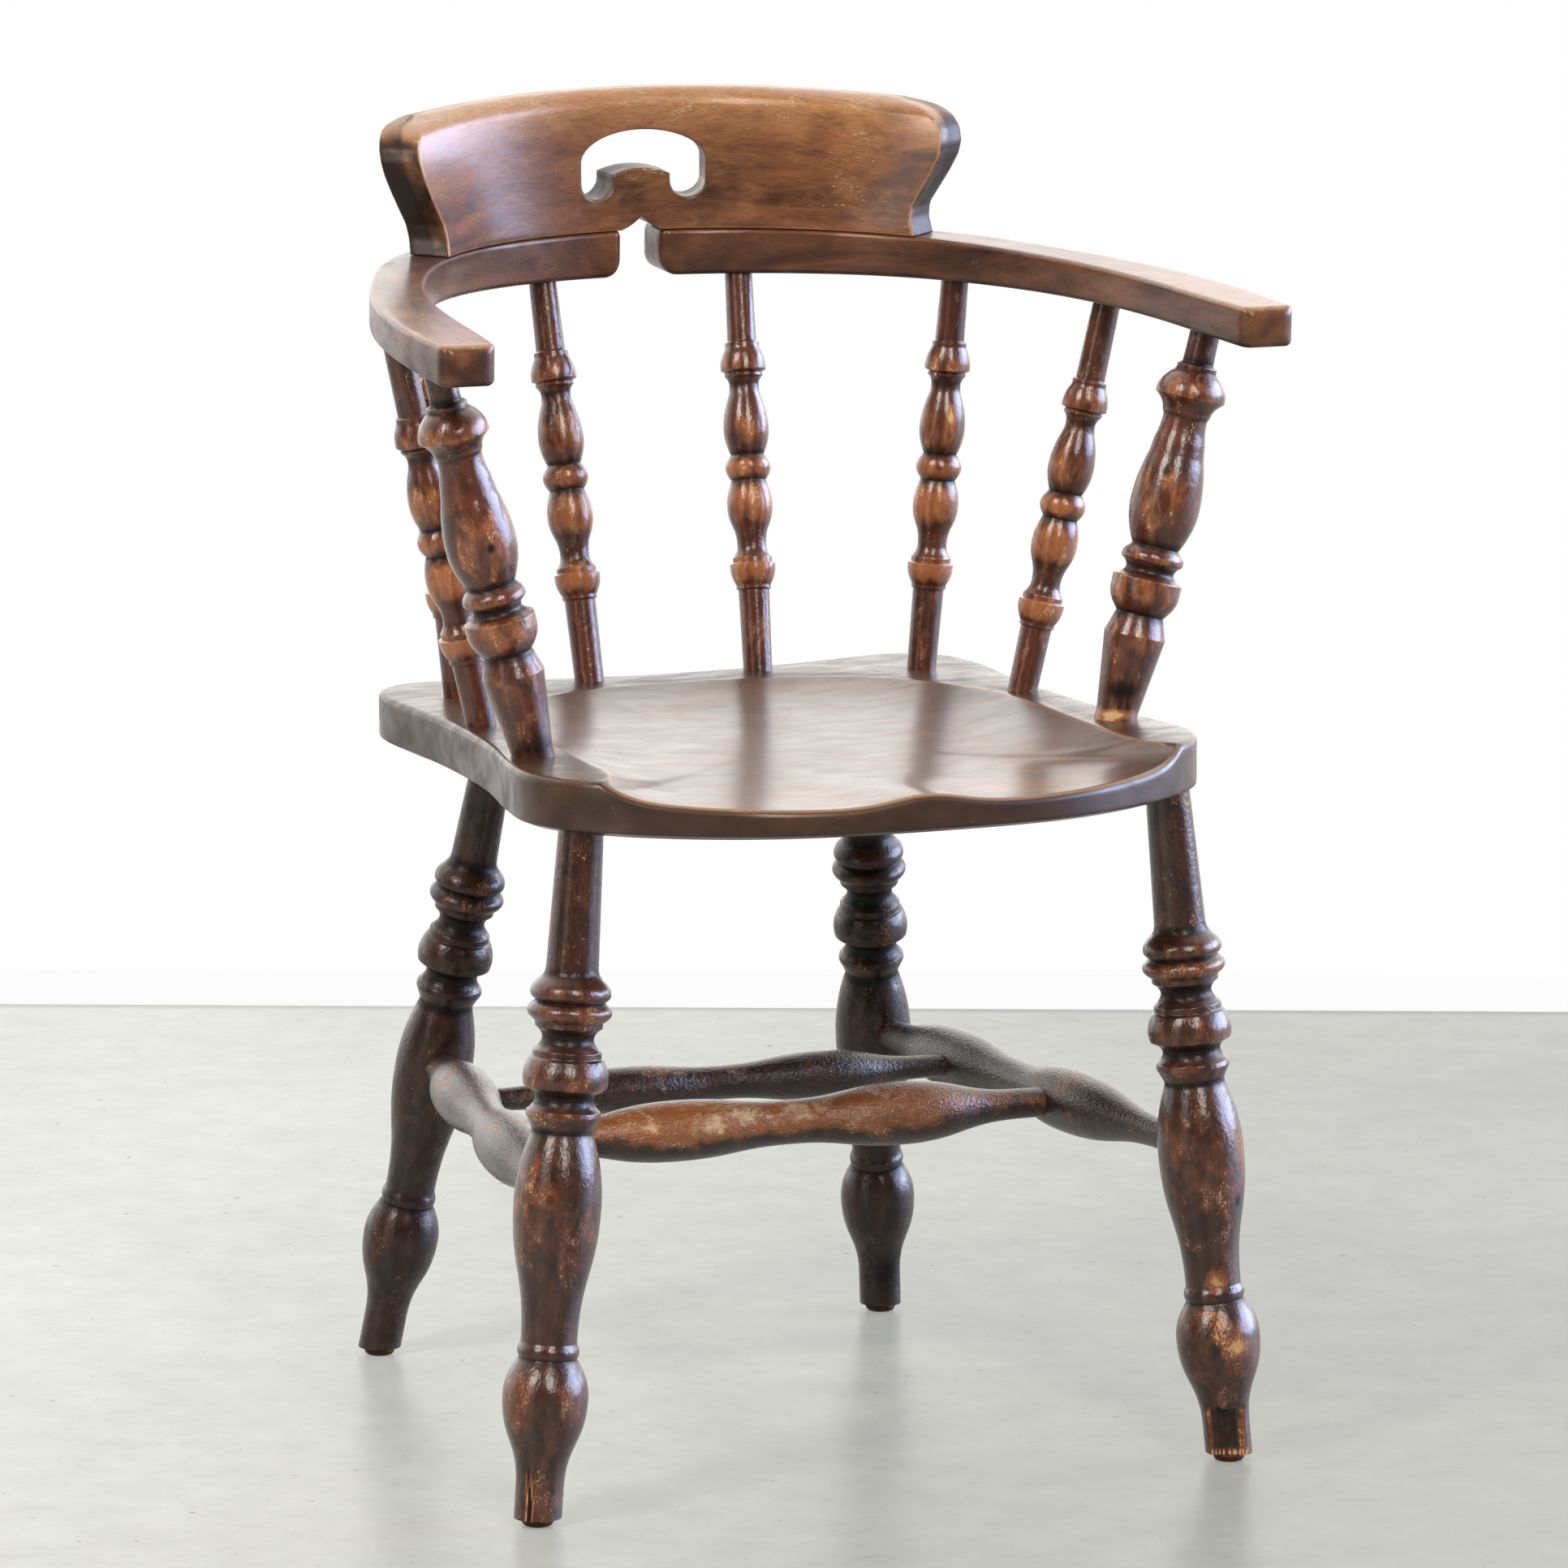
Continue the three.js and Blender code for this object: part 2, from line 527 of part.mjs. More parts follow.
// The hand-hold: an arched slot whose ends drop into two round lobes.
function holdOutline() {
  const lobe = crest.holdLobeRadius;
  const lobeX = crest.holdHalfWidth - lobe;
  const hookX = lobeX - lobe;
  const outline = new THREE.Shape();
  outline.moveTo(crest.holdHalfWidth, crest.holdSpringHeight);
  outline.absellipse(0, crest.holdSpringHeight, crest.holdHalfWidth, crest.holdRise, 0, Math.PI);
  outline.lineTo(-crest.holdHalfWidth, crest.holdLobeHeight);
  outline.absarc(-lobeX, crest.holdLobeHeight, lobe, Math.PI, 2 * Math.PI);
  outline.lineTo(-hookX, crest.holdHookHeight);
  outline.quadraticCurveTo(0, 2 * crest.holdArchHeight - crest.holdHookHeight, hookX, crest.holdHookHeight);
  outline.lineTo(hookX, crest.holdLobeHeight);
  outline.absarc(lobeX, crest.holdLobeHeight, lobe, Math.PI, 2 * Math.PI);
  return outline;
}

// The notch over the gap: a small point with drooping shoulders.
function notchOutline() {
  const outline = new THREE.Shape();
  outline.moveTo(-crest.notchHalfWidth, -overrun);
  outline.lineTo(-crest.notchHalfWidth, clearance);
  outline.quadraticCurveTo(-crest.notchHalfWidth / 2, crest.notchShoulder, 0, crest.notchHeight);
  outline.quadraticCurveTo(crest.notchHalfWidth / 2, crest.notchShoulder, crest.notchHalfWidth, clearance);
  outline.lineTo(crest.notchHalfWidth, -overrun);
  return outline;
}

// A cutter with its walls square to the bow, so its width grows with the distance from the centre.
function throughCrest(outline) {
  const slot = new THREE.ExtrudeGeometry(outline, {
    depth: 2 * bow.innerRadius, bevelEnabled: false, curveSegments: holdSteps,
  });
  slot.rotateX(Math.PI / 2).translate(0, 2 * (bow.innerRadius + bow.setback), 0);
  const corners = slot.attributes.position;
  for (let corner = 0; corner < corners.count; corner += 1) {
    corners.setX(corner, corners.getX(corner) * (corners.getY(corner) - bow.setback) / bow.innerRadius);
  }
  return slot;
}

// Assembly

const chair = new THREE.Group();
const seatFrame = new THREE.Group();
seatFrame.position.z = seat.height;
seatFrame.rotation.x = -seat.slope;
const bowFrame = new THREE.Group();
bowFrame.position.z = bow.height;
bowFrame.rotation.x = bow.slope;
chair.add(seatFrame, bowFrame);

const seatMesh = named('seat', seatGeometry(), seatWood);
seatFrame.add(seatMesh);
const crestMesh = named('crest_rail', crestGeometry(), armWood);
bowFrame.add(crestMesh);

const legs = {};
const glides = {};
const arms = {};
const sticks = [];
const sideStretchers = {};

function addLeg(row, side) {
  const place = legPlaces[row];
  const size = row === 'rear' ? { ...leg, radius: leg.radius * rearLegScale } : leg;
  const spot = seatPoint(place.topShares);
  const [across, along] = place.splay;
  const foot = new THREE.Vector3(sides[side] * (spot.x + across), spot.y + along, 0);
  const top = new THREE.Vector3(sides[side] * spot.x, spot.y, seatUnderAt(spot.y));
  const legSize = { ...size, endDepth: size.tenonDepth, tenonDepth: overrun };
  const length = foot.distanceTo(top);
  const lift = row === 'rear' ? rearLegLift : 0;
  const mesh = named(`leg_${row}_${side}`, turn(legShares, legSize, length, length, -lift), darkWood);
  standBetween(mesh, foot, top);
  const topRadius = tenonRadii(legShares, size)[1];
  mesh.userData = { facets: size.facets, foot, top, topRadius, stretcherHeight: place.stretcherHeight };
  legs[`${row}_${side}`] = mesh;
  chair.add(mesh);
  const shift = glide.height / top.z;
  const glideMesh = named(`glide_${row}_${side}`, glideGeometry(), glideMetal);
  glideMesh.userData.facets = glide.facets;
  glideMesh.rotation.x = Math.PI / 2;
  glideMesh.position.set(
    THREE.MathUtils.lerp(foot.x, top.x, shift), THREE.MathUtils.lerp(foot.y, top.y, shift), 0);
  glides[`${row}_${side}`] = glideMesh;
  chair.add(glideMesh);
}

// A nail-on glide: a dished steel cap with its nail.
function glideGeometry() {
  const plate = glide.height * glidePlateShare;
  return new THREE.LatheGeometry([
    new THREE.Vector2(0, 0), new THREE.Vector2(glide.footRadius, 0), new THREE.Vector2(glide.radius, plate),
    new THREE.Vector2(glide.radius, glide.height), new THREE.Vector2(glide.nailRadius, glide.height),
    new THREE.Vector2(glide.nailRadius, glide.height + glide.nailLength),
    new THREE.Vector2(0, glide.height + glide.nailLength),
  ], glide.facets);
}

// The axis of a spindle or post, from the seat's top to the arm's underside.
function stickEnds(place, side) {
  const base = seatPoint(place.baseShares);
  const top = armPoint(place);
  return [
    new THREE.Vector3(sides[side] * base.x, base.y, seatTopAt(base.y)),
    new THREE.Vector3(sides[side] * top.x, top.y, armUnderAt(top.y)),
  ];
}

function addStick(name, shares, size, place, side, pattern) {
  const [base, top] = stickEnds(place, side);
  const length = base.distanceTo(top);
  const mesh = named(`${name}_${side}`, turn(shares, size, length, pattern, place.footCut), darkWood);
  standBetween(mesh, base, top);
  mesh.userData = { facets: size.facets, side, shares, size, length };
  sticks.push(mesh);
  chair.add(mesh);
}

function stretcherPoint(mesh) {
  const { foot, top, stretcherHeight } = mesh.userData;
  return foot.clone().lerp(top, stretcherHeight / top.z);
}

// Stretchers run from axis to axis: their ends are set back by how far the axis lies inside.
function addStretcher(name, shares, size, start, end, startInset, endInset) {
  const axis = end.clone().sub(start).normalize();
  const from = start.clone().addScaledVector(axis, startInset);
  const to = end.clone().addScaledVector(axis, -endInset);
  const length = from.distanceTo(to);
  const mesh = named(name, turn(shares, size, length), darkWood);
  standBetween(mesh, from, to);
  mesh.userData = { facets: size.facets, start, end, shares, size, length };
  chair.add(mesh);
  return mesh;
}

const [cornerBase, cornerTop] = stickEnds(spindlePlaces.corner, 'right');
const spindlePattern = cornerBase.distanceTo(cornerTop);
for (const side of Object.keys(sides)) {
  addLeg('front', side);
  addLeg('rear', side);
  arms[side] = named(`arm_${side}`, armGeometry(sides[side]), armWood);
  bowFrame.add(arms[side]);
  for (const [place, spots] of Object.entries(spindlePlaces)) {
    addStick(`spindle_${place}`, spindleShares, spindle, spots, side, spindlePattern);
  }
  addStick('arm_post', postShares, post, postPlace, side);
  sideStretchers[side] = addStretcher(`stretcher_${side}`, sideStretcherShares, sideStretcher,
    stretcherPoint(legs[`rear_${side}`]), stretcherPoint(legs[`front_${side}`]),
    leg.radius * rearLegScale, leg.radius);
}

function addCross(name, size, share) {
  const pointOn = (side) => {
    const { start, end } = sideStretchers[side].userData;
    return start.clone().lerp(end, share);
  };
  const inset = sideStretcher.radius;
  return addStretcher(name, crossStretcherShares, size, pointOn('left'), pointOn('right'), inset, inset);
}
const crossFront = addCross('stretcher_front', frontStretcher, frontStretcherShare);
const crossRear = addCross('stretcher_rear', rearStretcher, rearStretcherShare);

// Dowels hold the crest down on the arms.
const dowels = [];
for (const side of Object.keys(sides)) {
  dowelTurns.forEach((turnBack, number) => {
    const place = bowPoint(bow.innerRadius + crest.thickness / 2, turnBack);
    const peg = new THREE.CylinderGeometry(
      crest.dowelRadius, crest.dowelRadius, 2 * crest.dowelDepth, crest.dowelFacets);
    const mesh = named(`crest_dowel_${side}_${number + 1}`, peg, bareWood);
    mesh.userData.facets = crest.dowelFacets;
    mesh.rotation.x = Math.PI / 2;
    mesh.position.set(sides[side] * place.x, place.y, 0);
    dowels.push({ mesh, side });
    bowFrame.add(mesh);
  });
}

chair.updateMatrixWorld(true);

// Fitting: every tenon, dowel and nail gets its hole.
for (const [place, mesh] of Object.entries(legs)) {
  const { foot, top, topRadius } = mesh.userData;
  bore(seatMesh, mesh, topRadius + clearance, foot.distanceTo(top) - overrun, foot.distanceTo(top) + seat.socketDepth);
  const slab = new THREE.BoxGeometry(leg.radius * 4, leg.radius * 4, 2 * leg.radius);
  slab.translate(foot.x, foot.y, glide.height + clearance - leg.radius);
  cut(mesh, slab, mesh.matrixWorld.clone().invert());
  bore(mesh, glides[place], glide.nailRadius + clearance, 0, glide.height + glide.nailLength + clearance);
}
function socketBoth(mesh, startReceiver, endReceiver) {
  const { shares, size, length } = mesh.userData;
  const [startRadius, endRadius] = tenonRadii(shares, size);
  const depth = size.tenonDepth + clearance;
  bore(startReceiver, mesh, startRadius + clearance, -depth, overrun);
  bore(endReceiver, mesh, endRadius + clearance, length - overrun, length + depth);
}
for (const mesh of sticks) socketBoth(mesh, seatMesh, arms[mesh.userData.side]);
for (const [side, mesh] of Object.entries(sideStretchers)) socketBoth(mesh, legs[`rear_${side}`], legs[`front_${side}`]);
for (const mesh of [crossFront, crossRear]) socketBoth(mesh, sideStretchers.left, sideStretchers.right);
for (const { mesh, side } of dowels) {
  const depth = crest.dowelDepth + clearance;
  bore(arms[side], mesh, crest.dowelRadius + clearance, -depth, overrun);
  bore(crestMesh, mesh, crest.dowelRadius + clearance, -overrun, depth);
}
for (const side of Object.keys(sides)) cut(arms[side], underRound(sides[side]));
cut(crestMesh, throughCrest(holdOutline()));
cut(crestMesh, throughCrest(notchOutline()));

export default chair;
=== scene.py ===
import math

import bmesh
import bpy
import numpy as np
from mathutils import Euler, Matrix, Vector


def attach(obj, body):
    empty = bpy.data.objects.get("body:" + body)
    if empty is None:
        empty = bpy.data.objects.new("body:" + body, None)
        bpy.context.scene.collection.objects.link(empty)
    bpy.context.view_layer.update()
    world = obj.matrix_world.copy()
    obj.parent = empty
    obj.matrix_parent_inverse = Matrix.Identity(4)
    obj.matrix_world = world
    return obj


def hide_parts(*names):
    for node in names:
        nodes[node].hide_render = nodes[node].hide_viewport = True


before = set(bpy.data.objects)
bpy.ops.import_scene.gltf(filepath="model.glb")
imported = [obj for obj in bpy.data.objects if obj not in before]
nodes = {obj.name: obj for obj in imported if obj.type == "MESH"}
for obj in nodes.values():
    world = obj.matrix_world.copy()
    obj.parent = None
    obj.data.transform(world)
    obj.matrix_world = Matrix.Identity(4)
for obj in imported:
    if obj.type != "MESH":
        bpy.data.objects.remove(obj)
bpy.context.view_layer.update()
metre = 0.001  # the shapes below are worked out in millimetres
sides = {"left": -1, "right": 1}
clearance = 0.3  # gap between two pieces that seat on each other


# sRGB hex to the linear colour that Blender's sockets take.
def linearColour(hexText):
    channels = [int(hexText[at:at + 2], 16) / 255 for at in (1, 3, 5)]
    return [c / 12.92 if c <= 0.04045 else ((c + 0.055) / 1.055) ** 2.4 for c in channels] + [1.0]


# Adds a node with its settings, a shader node if its kind has no prefix. An input is a value,
# the output that feeds it, or a node, for that node's first output.
def addNode(tree, kind, inputs=None, **settings):
    node = tree.nodes.new(kind if "Node" in kind else "ShaderNode" + kind)
    for name, value in settings.items():
        setattr(node, name, value)
    for key, value in (inputs or {}).items():
        if isinstance(value, bpy.types.Node):
            value = value.outputs[0]
        if isinstance(value, bpy.types.NodeSocket):
            tree.links.new(value, node.inputs[key])
        else:
            node.inputs[key].default_value = value
    return node


# A material with an empty node tree.
def newMaterial(name):
    material = bpy.data.materials.new(name)
    material.use_nodes = True
    material.node_tree.nodes.clear()
    return material, material.node_tree


def smoothStep(value, low, high):
    share = np.clip((np.asarray(value, dtype=float) - low) / (high - low), 0, 1)
    return share * share * (3 - 2 * share)


# Finishes

# Each wood is grown tissue that was stained, varnished and then rubbed for a century: near
# black where nothing touches it, reddish where it is handled, pale where the finish has gone.
# Sizes are millimetres of pattern across and along the grain. Pores are really 0.1 mm wide
# and are drawn coarser, so that they show.
# The grime colour is that of dirt, and is also laid on as painted shade.
woodLooks = {
    # Spindles and posts: close-grained beech, brushed with stain on the lathe. Glossy dark
    # brown with warm bellies and fine pale scratches.
    "turnedBeech": {
        "deep": "#381b0f", "warm": "#60301c", "rubbed": "#a5653c", "bare": "#d9b07e", "grimeAndShade": "#170c08",
        "figure": (12, 26), "mottle": (5, 9), "pore": (0.7, 9), "cluster": (9, 24), "chip": (1.1, 2),
        "scuff": (5, 16), "dent": (3.4, 5), "ring": 0.04, "ringShade": 0.97, "poreShade": 0.84,
        "chipFrom": 0.735, "scuffWidth": 0.007, "patchy": 1.1, "blotch": 0.09, "bloom": 0.03,
        "specular": 0.25, "roughness": 0.36, "coat": 1.0, "coatRoughness": 0.14, "soil": 0.3, "clouded": 0.1,
        "bump": 0.45,
    },
    # Legs: the same, mottled by knocks of shoes and brooms, with flecks of bare wood.
    "kickedBeech": {
        "deep": "#231009", "warm": "#4c2917", "rubbed": "#7f4729", "bare": "#cf9f6e", "grimeAndShade": "#130a07",
        "figure": (14, 26), "mottle": (5.5, 8), "pore": (0.7, 8), "cluster": (17, 22), "chip": (1.2, 1.9),
        "scuff": (6, 14), "dent": (4, 5), "ring": 0.05, "ringShade": 0.95, "poreShade": 0.72,
        "chipFrom": 0.715, "scuffWidth": 0.006, "patchy": 1.2, "blotch": 0.12, "bloom": 0.03,
        "specular": 0.18, "roughness": 0.38, "coat": 1.0, "coatRoughness": 0.16, "soil": 0.3, "clouded": 0.15,
        "bump": 0.6,
    },
    # Seat: one wide elm plank, scraped hollow and polished by use. Satin brown with a soft
    # clouded sheen.
    "scrapedElm": {
        "deep": "#37200f", "warm": "#5c3a1f", "rubbed": "#80532c", "bare": "#bf8a5c", "grimeAndShade": "#1c100b",
        "figure": (70, 170), "mottle": (15, 34), "pore": (0.8, 13), "cluster": (40, 60), "chip": (1.2, 2.2),
        "scuff": (20, 60), "dent": (9, 20), "ring": 0.016, "ringShade": 0.88, "poreShade": 0.78,
        "chipFrom": 0.8, "scuffWidth": 0.0015, "patchy": 0.6, "blotch": 0.16, "bloom": 0.0, "specular": 0.3,
        "roughness": 0.4, "coat": 1.0, "coatRoughness": 0.24, "soil": 0.4, "clouded": 0.3, "bump": 0.1,
    },
    # Arms and crest: beech sawn to the curve and smoothed by hands. Tawny on top, dark below.
    "handledBeech": {
        "deep": "#3f2013", "warm": "#8f5b39", "rubbed": "#b07c52", "bare": "#d4b38e", "grimeAndShade": "#22130c",
        "figure": (40, 170), "mottle": (10, 26), "pore": (0.6, 9), "cluster": (24, 50), "chip": (1.2, 2.4),
        "scuff": (12, 40), "dent": (7, 14), "ring": 0.014, "ringShade": 0.88, "poreShade": 0.66,
        "chipFrom": 0.755, "scuffWidth": 0.002, "patchy": 0.6, "blotch": 0.11, "bloom": 0.02,
        "specular": 0.25, "roughness": 0.38, "coat": 0.75, "coatRoughness": 0.22, "soil": 1.0,
        "clouded": 0.15, "bump": 0.25,
    },
}
# Stretchers: as the legs, but their varnish is dry and pimpled, and shoes have rubbed it orange.
woodLooks["scuffedBeech"] = {
    **woodLooks["kickedBeech"], "deep": "#1c0e08", "warm": "#422516", "rubbed": "#955a2d", "bare": "#d9b48c",
    "dent": (1.8, 2.4), "poreShade": 0.6, "coatRoughness": 0.25, "roughness": 0.42, "bump": 1.1}
varnishHaze = "#ccd6f2"  # dust and old wax scatter a little bluish light
# How each pattern is drawn: its detail, and how far it is bent.
patterns = {"figure": (5, 0.9), "mottle": (6, 0.5), "pore": (2, 0.2), "cluster": (2, 0.4), "chip": (4, 0.6),
            "scuff": (3, 0.8), "dent": (2, 0.2)}


# Colour from the grain place (metres, Z along the grain), with wear, grime and painted shade laid on it.
def makeWood(name, look):
    wood, tree = newMaterial(name)
    place, wear, grimeAndShade = (addNode(tree, "Attribute", attribute_name=key) for key in ("grainPlace", "wear", "grimeAndShade"))
    drawn = {}
    for part, (detail, bend) in patterns.items():
        across, along = look[part]
        scaled = addNode(tree, "Mapping", {
            "Vector": place.outputs["Vector"],
            "Scale": (1 / (across * metre), 1 / (across * metre), 1 / (along * metre))})
        drawn[part] = addNode(tree, "TexNoise", {
            "Vector": scaled, "Scale": 1.0, "Detail": detail, "Roughness": 0.62, "Distortion": bend}).outputs["Fac"]
    tone = addNode(tree, "MapRange", {
        "Value": drawn["figure"], "From Min": 0.3, "From Max": 0.72}, interpolation_type="SMOOTHSTEP")
    blotch = addNode(tree, "MapRange", {
        "Value": drawn["mottle"], "From Min": 0.38, "From Max": 0.62, "To Min": -look["blotch"],
        "To Max": look["blotch"]})
    toned = addNode(tree, "Math", {0: tone, 1: blotch}, operation="ADD", use_clamp=True)
    stained = addNode(tree, "Mix", {
        0: toned, 6: linearColour(look["deep"]), 7: linearColour(look["warm"])}, data_type="RGBA")
    # Rubbed: worn patches with a ragged edge.
    patched = addNode(tree, "Math", {
        0: drawn["cluster"], 1: look["patchy"], 2: wear.outputs["Fac"]}, operation="MULTIPLY_ADD")
    rubbing = addNode(tree, "Math", {
        0: drawn["mottle"], 1: 5 * look["blotch"], 2: patched}, operation="MULTIPLY_ADD")
    level = (look["patchy"] + 5 * look["blotch"]) / 2  # what the two patterns add on average
    rubbed = addNode(tree, "MapRange", {
        "Value": rubbing, "From Min": 0.2 + level, "From Max": 0.75 + level}, interpolation_type="SMOOTHSTEP")
    handled = addNode(tree, "Mix", {
        0: rubbed, 6: stained.outputs[2], 7: linearColour(look["rubbed"])}, data_type="RGBA")
    # Bare: flecks that gather in clusters, and whole areas where the wear is full.
    gathered = addNode(tree, "Math", {0: drawn["cluster"], 1: 0.7, 2: -0.35}, operation="MULTIPLY_ADD")
    chipping = addNode(tree, "Math", {0: wear.outputs["Fac"], 1: 0.1, 2: drawn["chip"]}, operation="MULTIPLY_ADD")
    flecking = addNode(tree, "Math", {0: chipping, 1: gathered}, operation="ADD")
    flecks = addNode(tree, "MapRange", {
        "Value": flecking, "From Min": look["chipFrom"],
        "From Max": look["chipFrom"] + 0.04}, interpolation_type="SMOOTHSTEP")
    worn = addNode(tree, "MapRange", {
        "Value": rubbing, "From Min": 0.85 + level, "From Max": 1.15 + level}, interpolation_type="SMOOTHSTEP")
    # Scratches: thin lines where a pattern passes its middle value, near the clusters.
    middle = addNode(tree, "Math", {0: drawn["scuff"], 1: 0.5}, operation="SUBTRACT")
    depth = addNode(tree, "Math", {0: middle}, operation="ABSOLUTE")
    line = addNode(tree, "MapRange", {
        "Value": depth, "From Min": look["scuffWidth"], "From Max": look["scuffWidth"] * 0.3})
    where = addNode(tree, "MapRange", {
        "Value": drawn["cluster"], "From Min": 0.54, "From Max": 0.62, "To Max": 0.55})
    scratch = addNode(tree, "Math", {0: line, 1: where}, operation="MULTIPLY")
    chipped = addNode(tree, "Math", {0: flecks, 1: worn}, operation="MAXIMUM")
    bare = addNode(tree, "Math", {0: chipped, 1: scratch}, operation="MAXIMUM")
    exposed = addNode(tree, "Mix", {
        0: bare, 6: handled.outputs[2], 7: linearColour(look["bare"])}, data_type="RGBA")
    # Growth rings follow the figure; pores are short dark lines along the grain.
    rings = addNode(tree, "Math", {0: drawn["figure"], 1: look["ring"]}, operation="PINGPONG")
    ringed = addNode(tree, "MapRange", {
        "Value": rings, "From Max": look["ring"], "To Min": look["ringShade"],
        "To Max": 1.03}, interpolation_type="SMOOTHSTEP")
    lines = addNode(tree, "MapRange", {
        "Value": drawn["pore"], "From Min": 0.34, "From Max": 0.56, "To Min": look["poreShade"], "To Max": 1.06})
    grain = addNode(tree, "Math", {0: ringed, 1: lines}, operation="MULTIPLY")
    grained = addNode(tree, "Mix", {
        0: 1.0, 6: exposed.outputs[2], 7: grain}, data_type="RGBA", blend_type="MULTIPLY")
    # Dirt and painted shade, from the painted mask and patches of soil, darken towards the grime colour.
    soilAndShade = addNode(tree, "Math", {
        0: drawn["cluster"], 1: look["soil"], 2: grimeAndShade.outputs["Fac"]}, operation="MULTIPLY_ADD")
    dirtAndShadeSum = addNode(tree, "Math", {0: drawn["mottle"], 1: 0.7, 2: soilAndShade}, operation="MULTIPLY_ADD")
    dirtAndShade = addNode(tree, "MapRange", {
        "Value": dirtAndShadeSum, "From Min": 0.44 + look["soil"] / 2,
        "From Max": 1.24 + look["soil"] / 2}, interpolation_type="SMOOTHSTEP")
    finished = addNode(tree, "Mix", {
        0: dirtAndShade, 6: grained.outputs[2], 7: linearColour(look["grimeAndShade"])}, data_type="RGBA")
    dull = addNode(tree, "Math", {0: bare, 1: 0.25, 2: look["roughness"]}, operation="MULTIPLY_ADD")
    uneven = addNode(tree, "Math", {0: drawn["mottle"], 1: 0.16, 2: dull}, operation="MULTIPLY_ADD")
    sunk = addNode(tree, "Math", {0: bare, 1: -0.35, 2: drawn["dent"]}, operation="MULTIPLY_ADD")
    relief = addNode(tree, "Math", {0: drawn["pore"], 1: 0.2, 2: sunk}, operation="MULTIPLY_ADD")
    bump = addNode(tree, "Bump", {"Strength": look["bump"], "Distance": 0.6 * metre, "Height": relief})
    # The varnish is whole on smooth wood, clouded by use, and mostly gone where dirt, painted shade and bare wood
    # show.
    lost = addNode(tree, "Math", {0: dirtAndShade, 1: bare}, operation="MAXIMUM")
    clouds = addNode(tree, "MapRange", {
        "Value": drawn["mottle"], "From Min": 0.35, "From Max": 0.65, "To Min": look["coat"],
        "To Max": look["coat"] - look["clouded"]})
    kept = addNode(tree, "Math", {0: lost, 1: -0.9, 2: 1.0}, operation="MULTIPLY_ADD")
    varnish = addNode(tree, "Math", {0: clouds, 1: kept}, operation="MULTIPLY")
    shader = addNode(tree, "BsdfPrincipled", {
        "Base Color": finished.outputs[2], "Roughness": uneven, "Normal": bump,
        "Specular IOR Level": look["specular"], "Coat Weight": varnish, "Coat Roughness": look["coatRoughness"],
        "Coat IOR": 1.5, "Coat Normal": bump, "Sheen Weight": look["bloom"], "Sheen Roughness": 0.35,
        "Sheen Tint": linearColour(varnishHaze)})
    addNode(tree, "OutputMaterial", {"Surface": shader})
    return wood


woods = {name: makeWood(name, look) for name, look in woodLooks.items()}
print("finishes: woods")


# Meshes

# A mesh from millimetre points, with the attributes that the woods read.
def meshFrom(name, points, faces, attributes):
    mesh = bpy.data.meshes.new(name)
    mesh.from_pydata([tuple(point) for point in np.asarray(points) * metre], [], faces)
    setAttributes(mesh, attributes)
    mesh.polygons.foreach_set("use_smooth", [True] * len(mesh.polygons))
    mesh.update()
    return mesh


def setAttributes(mesh, attributes):
    for key, values in attributes.items():
        values = np.asarray(values, dtype=float)
        kind, field = ("FLOAT_VECTOR", "vector") if values.ndim == 2 else ("FLOAT", "value")
        layer = mesh.attributes.get(key) or mesh.attributes.new(key, kind, "POINT")
        layer.data.foreach_set(field, values.ravel())


def readAttribute(mesh, key):
    values = np.empty(len(mesh.vertices))
    mesh.attributes[key].data.foreach_get("value", values)
    return values


def readPoints(mesh):
    points = np.empty(3 * len(mesh.vertices))
    mesh.vertices.foreach_get("co", points)
    return points.reshape(-1, 3) / metre


def readNormals(mesh):
    normals = np.empty(3 * len(mesh.vertices))
    mesh.vertex_normals.foreach_get("vector", normals)
    return normals.reshape(-1, 3)


def addPiece(name, mesh, node, material=None):
    piece = bpy.data.objects.new(name, mesh)
    bpy.context.scene.collection.objects.link(piece)
    if material is not None:
        mesh.materials.clear()
        mesh.materials.append(material)
    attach(piece, "root")
    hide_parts(node)
    return piece


# Pairs of neighbours along closed loops of points, for the faces that join each loop to the next.
def neighbours(loops, count):
    for loop in range(loops - 1):
        for step in range(count):
            yield loop * count + step, loop * count + (step + 1) % count


# Adds up painted places, each at its strength.
def layered(strengths, places):
    return sum(strength * places[part] for part, strength in strengths.items())


# Cuts a shape by the plane through a spot.
def cutShape(build, spot, way, **options):
    everything = build.verts[:] + build.edges[:] + build.faces[:]
    return bmesh.ops.bisect_plane(build, geom=everything, plane_co=spot, plane_no=way, **options)["geom_cut"]


# How strongly each point lies in round or stretched spots: centre, radii in millimetres, strength.
def spotted(points, spots):
    amount = np.zeros(len(points))
    for centre, radii, strength in spots:
        away = (points - np.array(centre)) / np.array(radii)
        amount = np.maximum(amount, strength * np.exp(-np.sum(away ** 2, axis=1)))
    return amount


# Tilts points about the X axis through a height, as the seat and the bow lie.
def tilted(points, angle, height):
    turned = np.array(points, dtype=float)
    y, z = turned[:, 1].copy(), turned[:, 2].copy()
    turned[:, 1] = y * math.cos(angle) - z * math.sin(angle)
    turned[:, 2] = y * math.sin(angle) + z * math.cos(angle) + height
    return turned


# Seat: a plank with bowed front, waisted sides and a dished, saddled top

